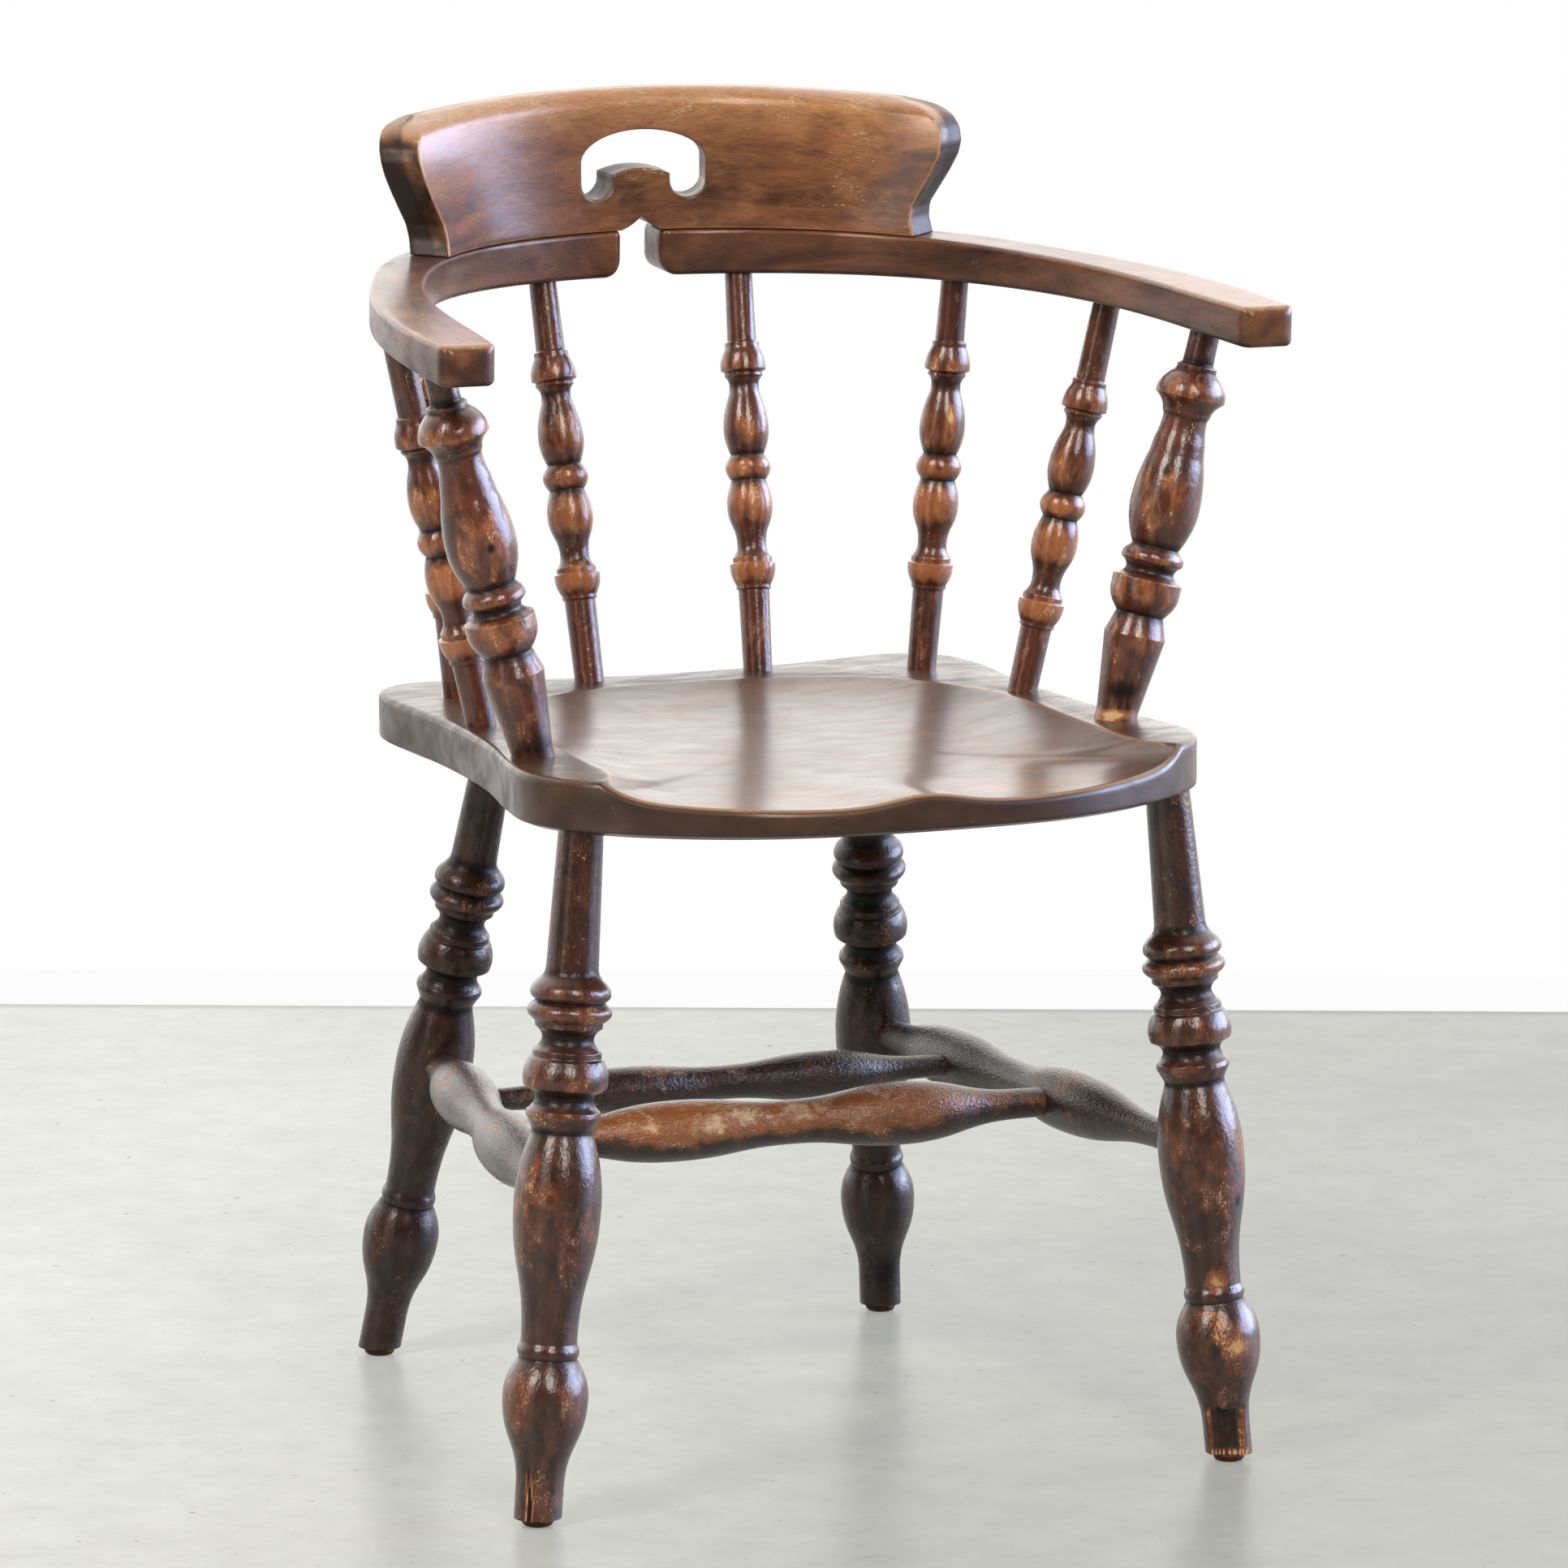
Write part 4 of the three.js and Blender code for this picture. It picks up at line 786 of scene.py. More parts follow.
def strokePoints(kind, start, radius, place):
    begin = np.array(start)
    end = np.array((start[0] if kind == "bead" else radius, place))
    middle = (start[1] + place) / 2
    steps = max(6, int(abs(place - start[1]) / 1.6))
    if kind == "leave":
        return quadratic(begin, (start[0], middle), end, steps)[1:]
    if kind == "arrive":
        return quadratic(begin, (radius, middle), end, steps)[1:]
    if kind == "bead":
        return quadratic(begin, (2 * radius - start[0], middle), end, max(10, steps))[1:]
    if kind == "swell":
        return bezier([begin, (start[0], middle), (radius, middle), end], max(12, steps))[1:]
    return [begin + (end - begin) * k / steps for k in range(1, steps + 1)]


# Corners that bend by more than an angle (radians) are eased, as old varnish fills them. How
# proud a place stands is measured from the mean radius, over a reach in steps to either side.
lathing = {"bend": 0.3, "ease": 0.45, "leastRise": 0.03, "step": 0.5, "reach": 24}


# Radius and place of each point of a turning.
def turnedProfile(rows, radius, length, tenons, pattern=None, footCut=0.0):
    pattern = pattern or length
    line = [np.array((rows[0][1] * radius, -tenons[0])), np.array((rows[0][1] * radius, 0.0))]
    for kind, radiusShare, placeShare in rows[1:-1]:
        line += strokePoints(kind, line[-1], radiusShare * radius, placeShare * pattern - footCut)
    endRadius = rows[-1][1] * radius
    line += strokePoints("line", line[-1], endRadius, length)
    line.append(np.array((endRadius, length + tenons[1])))
    eased = [line[0]]
    for before, point, after in zip(line, line[1:], line[2:]):
        back, forth = before - point, after - point
        backLength, forthLength = np.linalg.norm(back), np.linalg.norm(forth)
        bend = math.acos(max(-1, min(1, -np.dot(back, forth) / (backLength * forthLength))))
        if bend < lathing["bend"]:
            eased.append(point)
            continue
        a = point + back * min(lathing["ease"], 0.5 * backLength) / backLength
        b = point + forth * min(lathing["ease"], 0.5 * forthLength) / forthLength
        eased += [a, (a + 2 * point + b) / 4, b]
    eased.append(line[-1])
    rising = [eased[0]]
    for point in eased[1:]:
        rising.append(np.array((point[0], max(point[1], rising[-1][1] + lathing["leastRise"]))))
    return np.array(rising)


# The lathe: a profile (X radius, Z place) goes round its axis and is stood between two points.
def buildLathe():
    tree = bpy.data.node_groups.new("latheAndStand", "GeometryNodeTree")
    for name, kind in (("Profile", "Geometry"), ("Foot", "Vector"), ("Top", "Vector"), ("Sides", "Int"),
                       ("Billet", "Vector"), ("Wood", "Material")):
        tree.interface.new_socket(name, in_out="INPUT", socket_type=f"NodeSocket{kind}")
    tree.interface.new_socket("Turning", in_out="OUTPUT", socket_type="NodeSocketGeometry")
    given = addNode(tree, "NodeGroupInput").outputs
    position = addNode(tree, "GeometryNodeInputPosition")
    parts = addNode(tree, "SeparateXYZ", {0: position})
    marked = addNode(tree, "GeometryNodeStoreNamedAttribute", {
        "Geometry": given["Profile"], "Name": "turnedRadius",
        "Value": parts.outputs["X"]}, data_type="FLOAT", domain="POINT")
    axis = addNode(tree, "CombineXYZ", {"Z": parts.outputs["Z"]})
    straight = addNode(tree, "GeometryNodeSetPosition", {"Geometry": marked, "Position": axis})
    spine = addNode(tree, "GeometryNodeMeshToCurve", {0: straight})
    ring = addNode(tree, "GeometryNodeCurvePrimitiveCircle", {"Resolution": given["Sides"], "Radius": 1.0})
    radius = addNode(tree, "GeometryNodeInputNamedAttribute", {"Name": "turnedRadius"}, data_type="FLOAT")
    turned = addNode(tree, "GeometryNodeCurveToMesh", {
        "Curve": spine, "Profile Curve": ring, "Scale": radius.outputs["Attribute"], "Fill Caps": True})
    grain = addNode(tree, "VectorMath", {0: position, 1: given["Billet"]}, operation="ADD")
    grained = addNode(tree, "GeometryNodeStoreNamedAttribute", {
        "Geometry": turned, "Name": "grainPlace", "Value": grain}, data_type="FLOAT_VECTOR", domain="POINT")
    run = addNode(tree, "VectorMath", {0: given["Top"], 1: given["Foot"]}, operation="SUBTRACT")
    lean = addNode(tree, "FunctionNodeAlignRotationToVector", {"Vector": run}, axis="Z")
    stood = addNode(tree, "GeometryNodeTransform", {
        "Geometry": grained, "Translation": given["Foot"], "Rotation": lean})
    smooth = addNode(tree, "GeometryNodeSetShadeSmooth", {"Geometry": stood})
    real = addNode(tree, "GeometryNodeRealizeInstances", {"Geometry": smooth})
    stained = addNode(tree, "GeometryNodeSetMaterial", {"Geometry": real, "Material": given["Wood"]})
    addNode(tree, "NodeGroupOutput", {0: stained})
    return tree


lathe = buildLathe()


# Runs the lathe and gives back the plain mesh, with how proud and how full each place is.
def turnPiece(name, profile, fullest, foot, top, roundSides, wood, billet):
    count = len(profile)
    even = np.arange(profile[0][1], profile[-1][1], lathing["step"])
    radii = np.interp(even, profile[:, 1], profile[:, 0])
    width = 2 * lathing["reach"] + 1
    mean = np.convolve(np.pad(radii, lathing["reach"], mode="edge"), np.ones(width) / width, mode="valid")
    proud = profile[:, 0] - np.interp(profile[:, 1], even, mean)
    blank = bpy.data.meshes.new(name)
    blank.from_pydata([(r * metre, 0, z * metre) for r, z in profile], [(k, k + 1) for k in range(count - 1)], [])
    setAttributes(blank, {"proud": proud, "full": profile[:, 0] / fullest})
    worker = bpy.data.objects.new(name, blank)
    bpy.context.scene.collection.objects.link(worker)
    modifier = worker.modifiers.new("lathe", "NODES")
    modifier.node_group = lathe
    values = {"Foot": Vector(foot) * metre, "Top": Vector(top) * metre, "Sides": roundSides,
              "Billet": Vector(billet), "Wood": wood}
    for item in lathe.interface.items_tree:
        if item.in_out == "INPUT" and item.name in values:
            modifier[item.identifier] = values[item.name]
    worked = bpy.context.evaluated_depsgraph_get()
    mesh = bpy.data.meshes.new_from_object(worker.evaluated_get(worked), preserve_all_data_layers=True,
                                           depsgraph=worked)
    mesh.name = name
    worker.modifiers.clear()
    bpy.data.objects.remove(worker)
    bpy.data.meshes.remove(blank)
    return mesh


# Sizes of the turnings in millimetres. Worn: how much everywhere, on beads and on bellies. The
# spindles and posts are also made darker towards their tops.
turned = {
    "leg": {"radius": 26.8, "tenons": (10, 20), "sides": 72, "cutHeight": 5.3, "rearScale": 0.925, "rearLift": 4.5},
    "spindle": {"radius": 14.7, "tenons": (16, 16), "sides": 56, "worn": (0.08, 0.1, 0.26), "lowBellies": 0.24,
                "lowWear": 0.18, "highDarkening": 0.35},
    "post": {"radius": 22, "tenons": (17, 17), "sides": 64, "worn": (0.08, 0.1, 0.26), "lowBellies": 0,
             "lowWear": 0.18, "highDarkening": 0.35},
    "sideStretcher": {"radius": 20.2, "tenons": (14, 14), "sides": 56, "worn": (0.1, 0.1, 0.1)},
    "frontStretcher": {"radius": 20, "tenons": (12, 12), "sides": 56, "worn": (0.1, 0.1, 0.1), "share": 0.607},
    "rearStretcher": {"radius": 15.6, "tenons": (12, 12), "sides": 48, "worn": (0.1, 0.1, 0.1), "share": 0.3},
}
# The rear legs are darkened all over, as painted shade under the seat.
legPlaces = {
    "front": {"topShares": (0.877, -0.673), "splay": (37, -24.6), "stretcherHeight": 198,
              "worn": (0.16, 0.14, 0.16), "dirtAndShade": 0},
    "rear": {"topShares": (0.575, 0.754), "splay": (50, 89), "stretcherHeight": 201,
             "worn": (0.05, 0.14, 0.16), "dirtAndShade": 0.45},
}
spindlePlaces = {
    "corner": {"baseShares": (0.72, 0.668), "turnShare": 0.957, "footCut": 0},
    "back": {"baseShares": (0.263, 0.826), "turnShare": 0.303, "footCut": 0},
    "side": {"baseShares": (0.83, 0.134), "topShares": (0.857, 0.164), "footCut": 10.5},
}
postPlace = {"baseShares": (0.879, -0.362), "topShares": (0.911, -0.533), "footCut": 0}


# Wear where the turning stands proud and full, grime where it is nipped in, and the extra darkening
# that each caller gives: painted shade on the rear legs and under the stretchers, darker tops on
# the spindles and posts.
def paintTurning(mesh, worn, extraWear, extraGrimeAndShade):
    everywhere, beads, bellies = worn
    proud, full = readAttribute(mesh, "proud"), readAttribute(mesh, "full")
    wear = everywhere + beads * np.clip(proud / 3, -1, 1.2) + bellies * smoothStep(full, 0.72, 1) + extraWear
    grimeAndShade = 0.75 * smoothStep(-proud, 0.5, 2.4) + extraGrimeAndShade
    setAttributes(mesh, {"wear": wear, "grimeAndShade": grimeAndShade})


# Where years have marked single pieces: pale where wood is bare, dark at knots and burns.
marks = {
    "armPostRight": {
        "bare": [((190.5, -104, 459), (16, 16, 3.5), 1.3), ((224, -112, 596), (5, 5, 16), 0.75),
                 ((216, -110, 626), (4, 4, 12), 0.5)],
        "dark": [((221, -108.6, 611.8), (2.8, 2.8, 3.1), 1.2), ((190, -111, 475), (15, 10, 7), 1.0)]},
    "armPostLeft": {
        "bare": [((-226, -116, 560), (6, 6, 20), 0.55)],
        "dark": [((-228.4, -114.9, 587.8), (2.9, 2.9, 3.3), 1.2), ((-196, -104, 462), (20, 20, 10), 0.8)]},
    "spindleCornerRight": {
        "bare": [((173.8, 127.4, 614.9), (4, 4, 13), 1.1), ((170, 132, 583), (4, 4, 8), 0.7)], "dark": []},
    "spindleBackLeft": {"bare": [((-58, 196, 556), (6, 6, 14), 0.7)], "dark": []},
    "spindleBackRight": {"bare": [((60, 196, 556), (5, 5, 12), 0.6)], "dark": []},
    "spindleSideRight": {"bare": [((205, 36, 505), (8, 8, 9), 0.8)], "dark": []},
    "legFrontRight": {
        "bare": [((215.1, -212, 117.7), (9, 9, 8), 1.05), ((226, -224, 78), (11, 12, 9), 1.1),
                 ((214, -228, 72), (7, 7, 5), 0.9), ((234, -210, 200), (3.4, 9, 24), 1.1),
                 ((212, -216, 97.5), (9, 9, 2), 0.9)],
        "dark": [((229, -214, 168), (3.2, 3.2, 4.2), 0.9)]},
    "legFrontLeft": {
        "bare": [((-231.6, -204, 227), (4, 5, 20), 0.85), ((-238, -214, 150), (6, 6, 14), 0.5),
                 ((-240, -216, 196), (5, 5, 14), 0.5)],
        "dark": []},
    "legRearRight": {"bare": [((180, 225, 60), (7, 7, 10), 0.7)], "dark": [((176, 230, 34), (12, 12, 14), 0.5)]},
}


def paintMarks(name, mesh):
    if name not in marks:
        return
    points = readPoints(mesh)
    wear = np.maximum(readAttribute(mesh, "wear"), spotted(points, marks[name]["bare"]))
    grimeAndShade = readAttribute(mesh, "grimeAndShade") + spotted(points, marks[name]["dark"])
    setAttributes(mesh, {"wear": wear, "grimeAndShade": grimeAndShade})


def stickEnds(place, side):
    base = seatPoint(place["baseShares"])
    if "topShares" in place:
        top = Vector((place["topShares"][0] * bow["handSpread"] / 2, place["topShares"][1] * bow["handReach"]))
    else:
        top = bowPoint(bow["innerRadius"] + 0.36 * bow["armWidth"], place["turnShare"] * bow["innerTurn"])
    return (Vector((sides[side] * base.x, base.y, seatTopAt(base.y))),
            Vector((sides[side] * top.x, top.y, armUnderAt(top.y))))


def buildStick(name, node, kind, place, side, pattern, number):
    size = turned[kind]
    base, top = stickEnds(place, side)
    profile = turnedProfile(profiles[kind], size["radius"], (top - base).length, size["tenons"], pattern,
                            place["footCut"])
    billet = (0, 0, 1.37 * number)  # each piece is cut from its own length of wood
    mesh = turnPiece(name, profile, size["radius"], base, top, size["sides"], woods["turnedBeech"], billet)
    height = readPoints(mesh)[:, 2]
    everywhere, beads, bellies = size["worn"]
    bellies = bellies + size["lowBellies"] * (1 - smoothStep(height, 565, 625))
    paintTurning(mesh, (everywhere, beads, bellies), size["lowWear"] * (1 - smoothStep(height, 460, 570)),
                 size["highDarkening"] * smoothStep(height, 630, 715))
    paintMarks(name, mesh)
    return addPiece(name, mesh, node)


cornerBase, cornerTop = stickEnds(spindlePlaces["corner"], "right")
spindlePattern = (cornerTop - cornerBase).length
number = 0
for side in sides:
    for spot, place in spindlePlaces.items():
        number += 1
        buildStick(f"spindle{spot.capitalize()}{side.capitalize()}", f"spindle_{spot}_{side}", "spindle", place, side,
                   spindlePattern, number)
    number += 1
    buildStick(f"armPost{side.capitalize()}", f"arm_post_{side}", "post", postPlace, side, None, number)
print("spindles and posts")


def legEnds(row, side):
    place = legPlaces[row]
    spot = seatPoint(place["topShares"])
    across, along = place["splay"]
    return (Vector((sides[side] * (spot.x + across), spot.y + along, 0)),
            Vector((sides[side] * spot.x, spot.y, seatTopAt(spot.y) - seat["thickness"])))


# A chunk is broken off the front of one foot, and another foot is split up the grain. Heights
# and widths are in millimetres, and ways are directions across the floor.
footDamage = {
    "breakAt": 9.2, "breakTop": 35.5, "breakWay": (-0.36, -0.93), "marginAt": 8.2,
    "splitTop": 44, "splitWay": (-0.72, -0.69), "splitWidth": 1.1, "splitDepth": 1.6,
}


def damageFoot(mesh, side):
    points = readPoints(mesh)
    foot, top = legEnds("front", side)
    axisPoints = np.array(foot) + (np.array(top) - np.array(foot)) * (points[:, 2:3] / top.z)
    off = points - axisPoints
    wear, grimeAndShade = readAttribute(mesh, "wear"), readAttribute(mesh, "grimeAndShade")
    if side == "right":
        way = np.array((*footDamage["breakWay"], 0))
        way /= np.linalg.norm(way)
        reach = off @ way
        across = off @ np.array((-way[1], way[0], 0))
        ledge = footDamage["breakTop"] + 0.7 * np.sin(across * 1.1) + 0.05 * across
        broken = (reach > footDamage["breakAt"]) & (points[:, 2] < ledge)
        grainy = 0.35 * np.sin(across * 2.3) * np.sin(across * 0.9 + 1)
        points += np.where(broken, footDamage["breakAt"] + grainy - reach, 0)[:, None] * way
        margin = smoothStep(np.abs(across + 1.2), footDamage["marginAt"] - 1, footDamage["marginAt"] + 0.3)
        fibres = 0.35 * np.sin(across * 7) + 0.15 * np.sin(points[:, 2])
        wear = np.where(broken, -1 + (1.75 + fibres) * margin, wear)
        low = 1 - smoothStep(points[:, 2], 7, 10)
        wear = np.where(broken, np.maximum(wear, 1.6 * low * (np.sin(across * 3) > -0.2)), wear)
        grimeAndShade = np.where(broken, 0.55 * (1 - margin) * (1 - low), grimeAndShade)
    else:
        way = np.array((*footDamage["splitWay"], 0))
        way /= np.linalg.norm(way)
        across = off @ np.array((-way[1], way[0], 0))
        top = footDamage["splitTop"]
        wander = 0.9 * np.sin(points[:, 2] * 0.13)
        width = footDamage["splitWidth"] * (1 - smoothStep(points[:, 2], 10, top))
        near = np.abs(across - wander)
        facing = (off @ way > 0) & (points[:, 2] < top)
        crack = facing * np.exp(-(near / np.maximum(width, 0.2)) ** 2)
        lip = facing * np.exp(-((near - 1.6) / 0.9) ** 2) * (1 - smoothStep(points[:, 2], 25, top))
        points -= (footDamage["splitDepth"] * crack)[:, None] * way
        wear = np.maximum(wear, 1.25 * lip)
        grimeAndShade = grimeAndShade + 1.5 * crack
    mesh.vertices.foreach_set("co", (points * metre).ravel())
    setAttributes(mesh, {"wear": wear, "grimeAndShade": grimeAndShade})
    mesh.update()


def buildLeg(row, side, number):
    size = turned["leg"]
    foot, top = legEnds(row, side)
    rear = row == "rear"
    radius = size["radius"] * (size["rearScale"] if rear else 1)
    profile = turnedProfile(profiles["leg"], radius, (top - foot).length, size["tenons"], None,
                            -size["rearLift"] if rear else 0)
    name = f"leg{row.capitalize()}{side.capitalize()}"
    mesh = turnPiece(name, profile, radius, foot, top, size["sides"], woods["kickedBeech"], (0, 0, 1.13 * number))
    build = bmesh.new()
    build.from_mesh(mesh)
    cut = cutShape(build, (0, 0, size["cutHeight"] * metre), (0, 0, -1), clear_outer=True)
    rim = [item for item in cut if isinstance(item, bmesh.types.BMEdge)]
    bmesh.ops.holes_fill(build, edges=rim)
    for edge in rim:
        edge.smooth = False
    bmesh.ops.recalc_face_normals(build, faces=build.faces[:])
    build.to_mesh(mesh)
    build.free()
    low = 1 - smoothStep(readPoints(mesh)[:, 2], 20, 120)
    # The rear legs' extra darkening is painted shade under the seat.
    paintTurning(mesh, legPlaces[row]["worn"], 0.12 * low, legPlaces[row]["dirtAndShade"])
    paintMarks(name, mesh)
    if not rear:
        damageFoot(mesh, side)
    return addPiece(name, mesh, f"leg_{row}_{side}")


number = 0
for side in sides:
    for row in legPlaces:
        number += 1
        buildLeg(row, side, number)
print("legs")


def stretcherPoint(row, side):
    foot, top = legEnds(row, side)
    return foot.lerp(top, legPlaces[row]["stretcherHeight"] / top.z)


def buildStretcher(name, node, kind, profileName, start, end, insets, number, rule):
    size = turned[kind]
    axis = (end - start).normalized()
    start, end = start + axis * insets[0], end - axis * insets[1]
    profile = turnedProfile(profiles[profileName], size["radius"], (end - start).length, size["tenons"])
    billet = (0, 0, 2.9 + number)
    mesh = turnPiece(name, profile, size["radius"], start, end, size["sides"], woods["scuffedBeech"], billet)
    paintTurning(mesh, size["worn"], *rule(readPoints(mesh), readNormals(mesh)))
    return addPiece(name, mesh, node)


# Shoes have rubbed the front stretcher's top, front and middle down to the wood; that pale patch,
# where it faces up and forward, is also a painted highlight. Its underside is painted shade.
def shoeWearAndPaintedLight(points, normals):
    facing = smoothStep(normals @ np.array((0, -0.82, 0.57)), 0.4, 1.0)
    middle = np.exp(-((points[:, 0] + 25) / 115) ** 2)
    return 0.9 * facing * (0.3 + 0.65 * middle), 0.25 * smoothStep(-normals[:, 2], 0.2, 0.9)


# Tops a little worn, and undersides darkened as painted shade.
def plainWearAndShade(points, normals):
    return 0.12 * smoothStep(normals[:, 2], 0.2, 1), 0.15 * smoothStep(-normals[:, 2], 0.2, 0.9)


legInsets = (turned["leg"]["radius"] * turned["leg"]["rearScale"], turned["leg"]["radius"])
ends = {side: (stretcherPoint("rear", side), stretcherPoint("front", side)) for side in sides}
for number, side in enumerate(sides):
    buildStretcher(f"stretcher{side.capitalize()}", f"stretcher_{side}", "sideStretcher", "sideStretcher",
                   *ends[side], legInsets, number * 0.7, plainWearAndShade)
for number, (kind, node, rule) in enumerate((("frontStretcher", "stretcher_front", shoeWearAndPaintedLight),
                                             ("rearStretcher", "stretcher_rear", plainWearAndShade))):
    share = turned[kind]["share"]
    start, end = (ends[side][0].lerp(ends[side][1], share) for side in sides)
    inset = turned["sideStretcher"]["radius"]
    buildStretcher(kind, node, kind, "crossStretcher", start, end, (inset, inset), 1.7 + number, rule)
print("stretchers")

# Glides, made anew with their curves, and dowels, which keep the CAD's shapes

glideLook = {"plate": "#3a2218", "rust": "#5a3018", "speckle": 600.0, "metallic": 0.8, "roughness": 0.48}


# Steel pressed cold and browned: a dull dark brown, speckled with rust.
def makeBrownedSteel():
    steel, tree = newMaterial("brownedSteel")
    place = addNode(tree, "TexCoord")
    speckle = addNode(tree, "TexNoise", {
        "Vector": place.outputs["Object"], "Scale": glideLook["speckle"], "Detail": 4.0})
    amount = addNode(tree, "MapRange", {"Value": speckle.outputs["Fac"], "From Min": 0.45, "From Max": 0.62})
    colour = addNode(tree, "Mix", {
        0: amount, 6: linearColour(glideLook["plate"]), 7: linearColour(glideLook["rust"])}, data_type="RGBA")
    bump = addNode(tree, "Bump", {"Strength": 0.4, "Distance": 0.2 * metre, "Height": speckle.outputs["Fac"]})
    shader = addNode(tree, "BsdfPrincipled", {
        "Base Color": colour.outputs[2], "Metallic": glideLook["metallic"],
        "Roughness": glideLook["roughness"], "Normal": bump})
    addNode(tree, "OutputMaterial", {"Surface": shader})
    return steel


glide = {"radius": 9.8, "height": 5, "footRadius": 7.5, "sides": 48}
brownedSteel = makeBrownedSteel()


# A domed cap pressed from sheet steel: flat foot, rolled shoulder, straight skirt.
def buildGlide(row, side):
    foot, top = legEnds(row, side)
    centre = foot.lerp(top, glide["height"] / top.z)
    plate = 0.55 * glide["height"]
    profile = [(glide["footRadius"] * 0.5, 0), (glide["footRadius"] - 0.6, 0), (glide["footRadius"], 0.12)]
    profile += [tuple(point) for point in quadratic((glide["footRadius"], 0.12), (glide["radius"] - 0.4, 0.9),
                                                    (glide["radius"], plate), 6)[1:]]
    profile += [(glide["radius"], glide["height"] - 0.3), (glide["radius"] - 0.3, glide["height"]),
                (glide["radius"] * 0.5, glide["height"])]
    count = glide["sides"]
    points = []
    for r, z in profile:
        points += [(centre.x + r * math.cos(turn), centre.y + r * math.sin(turn), z)
                   for turn in np.arange(count) / count * 2 * math.pi]
    faces = [(a, b, b + count, a + count) for a, b in neighbours(len(profile), count)]
    faces += [tuple(reversed(range(count))), tuple((len(profile) - 1) * count + step for step in range(count))]
    name = f"glide{row.capitalize()}{side.capitalize()}"
    mesh = meshFrom(name, points, faces, {})
    mesh.set_sharp_from_angle(angle=math.radians(50))
    return addPiece(name, mesh, f"glide_{row}_{side}", brownedSteel)


for side in sides:
    for row in legPlaces:
        buildGlide(row, side)


dowelLook = {"late": "#a87848", "early": "#d0a878", "grain": (900.0, 900.0, 60.0), "roughness": 0.7}


# Bare beech, planed along the grain: matt and pale, with fine darker lines.
def makeBareBeech():
    beech, tree = newMaterial("planedBeech")
    place = addNode(tree, "TexCoord")
    scaled = addNode(tree, "Mapping", {"Vector": place.outputs["Object"], "Scale": dowelLook["grain"]})
    grain = addNode(tree, "TexNoise", {"Vector": scaled, "Scale": 1.0, "Detail": 3.0})
    colour = addNode(tree, "Mix", {
        0: grain.outputs["Fac"], 6: linearColour(dowelLook["late"]),
        7: linearColour(dowelLook["early"])}, data_type="RGBA")
    shader = addNode(tree, "BsdfPrincipled", {"Base Color": colour.outputs[2], "Roughness": dowelLook["roughness"]})
    addNode(tree, "OutputMaterial", {"Surface": shader})
    return beech


bareBeech = makeBareBeech()
for side in sides:
    for number in (1, 2):
        dowel = nodes[f"crest_dowel_{side}_{number}"]
        dowel.data.materials.clear()
        dowel.data.materials.append(bareBeech)
print("glides and dowels")

# Stage, light and camera

stage = {
    "yaw": 21.578, "pitch": 10.412, "roll": 0.284, "camera": (-2.2052, -5.5990, 1.5144), "lens": 223.60,
    "wallAt": 7.294, "boardHeight": 0.136, "target": (0, 0, 0.45),
    "roomGloss": 0.1, "wallGloss": 2.0, "wallTint": (1, 0.985, 0.95), "roomSoft": 0.28, "wallSoft": 0.6,
    "windows": [
        {"towards": (-0.7, -0.35, 0.62), "half": (0.17, 0.2), "strength": 13, "colour": "#fffaf4"},
        {"towards": (-0.05, -0.82, 0.57), "half": (0.15, 0.28), "strength": 12, "colour": "#fffaf4"},
        {"towards": (-0.84, -0.42, 0.32), "half": (0.16, 0.32), "strength": 2.2, "colour": "#fffaf4"},
        {"towards": (0.92, -0.18, 0.28), "half": (0.52, 0.3), "strength": 14, "colour": "#c2d3ff"}],
    "lamps": {
        "left": {"at": (-2.75, -1.4, 3.2), "size": (0.7, 0.7), "watts": 80, "colour": "#fffaf4"},
        "front": {"at": (-0.15, -3.05, 3.2), "size": (0.7, 0.7), "watts": 70, "colour": "#fffaf4"},
        "window": {"at": (2.95, -0.45, 1.3), "size": (1.2, 2.1), "watts": 40, "colour": "#c6d5ff"}},
}
# Even: how much of the floor's light doesn't depend on the lamps, as in the photograph.
# Left and right: the concrete's colour, painted lit on the left and painted shaded on the right.
floorLook = {
    "left": "#dddfd7", "right": "#b0b1ab", "speck": "#77766f", "glow": 1.0, "even": 0.57, "specular": 0.6,
    "roughness": (0.24, 0.36), "cloudScale": 2.2, "clouding": 0.35, "gritScale": 95.0, "patchScale": 22.0,
    "mottling": (0.91, 1.09), "jointShade": 0.72, "jointStart": 0.018, "jointEnd": 0.006,
}

# World: white for the eye, a white wall behind the chair and a dimmer room in front of it.
world = bpy.data.worlds.new("daylight")
bpy.context.scene.world = world
world.use_nodes = True
sky = world.node_tree
sky.nodes.clear()
yaw = math.radians(stage["yaw"])
path = addNode(sky, "LightPath")
seen = addNode(sky, "Math", {
    0: path.outputs["Is Camera Ray"], 1: path.outputs["Is Transmission Ray"]}, operation="MAXIMUM")
around = addNode(sky, "TexCoord")
towards = addNode(sky, "VectorMath", {
    0: around.outputs["Generated"], 1: (math.sin(yaw), math.cos(yaw), 0)}, operation="DOT_PRODUCT")
glossy, soft = (addNode(sky, "MapRange", {
    "Value": towards.outputs["Value"], "From Min": -0.35, "From Max": 0.45, "To Min": stage[room],
    "To Max": stage[wall]}, interpolation_type="SMOOTHSTEP")
    for room, wall in (("roomGloss", "wallGloss"), ("roomSoft", "wallSoft")))
mirrored = addNode(sky, "VectorMath", {0: glossy, 1: stage["wallTint"]}, operation="MULTIPLY")
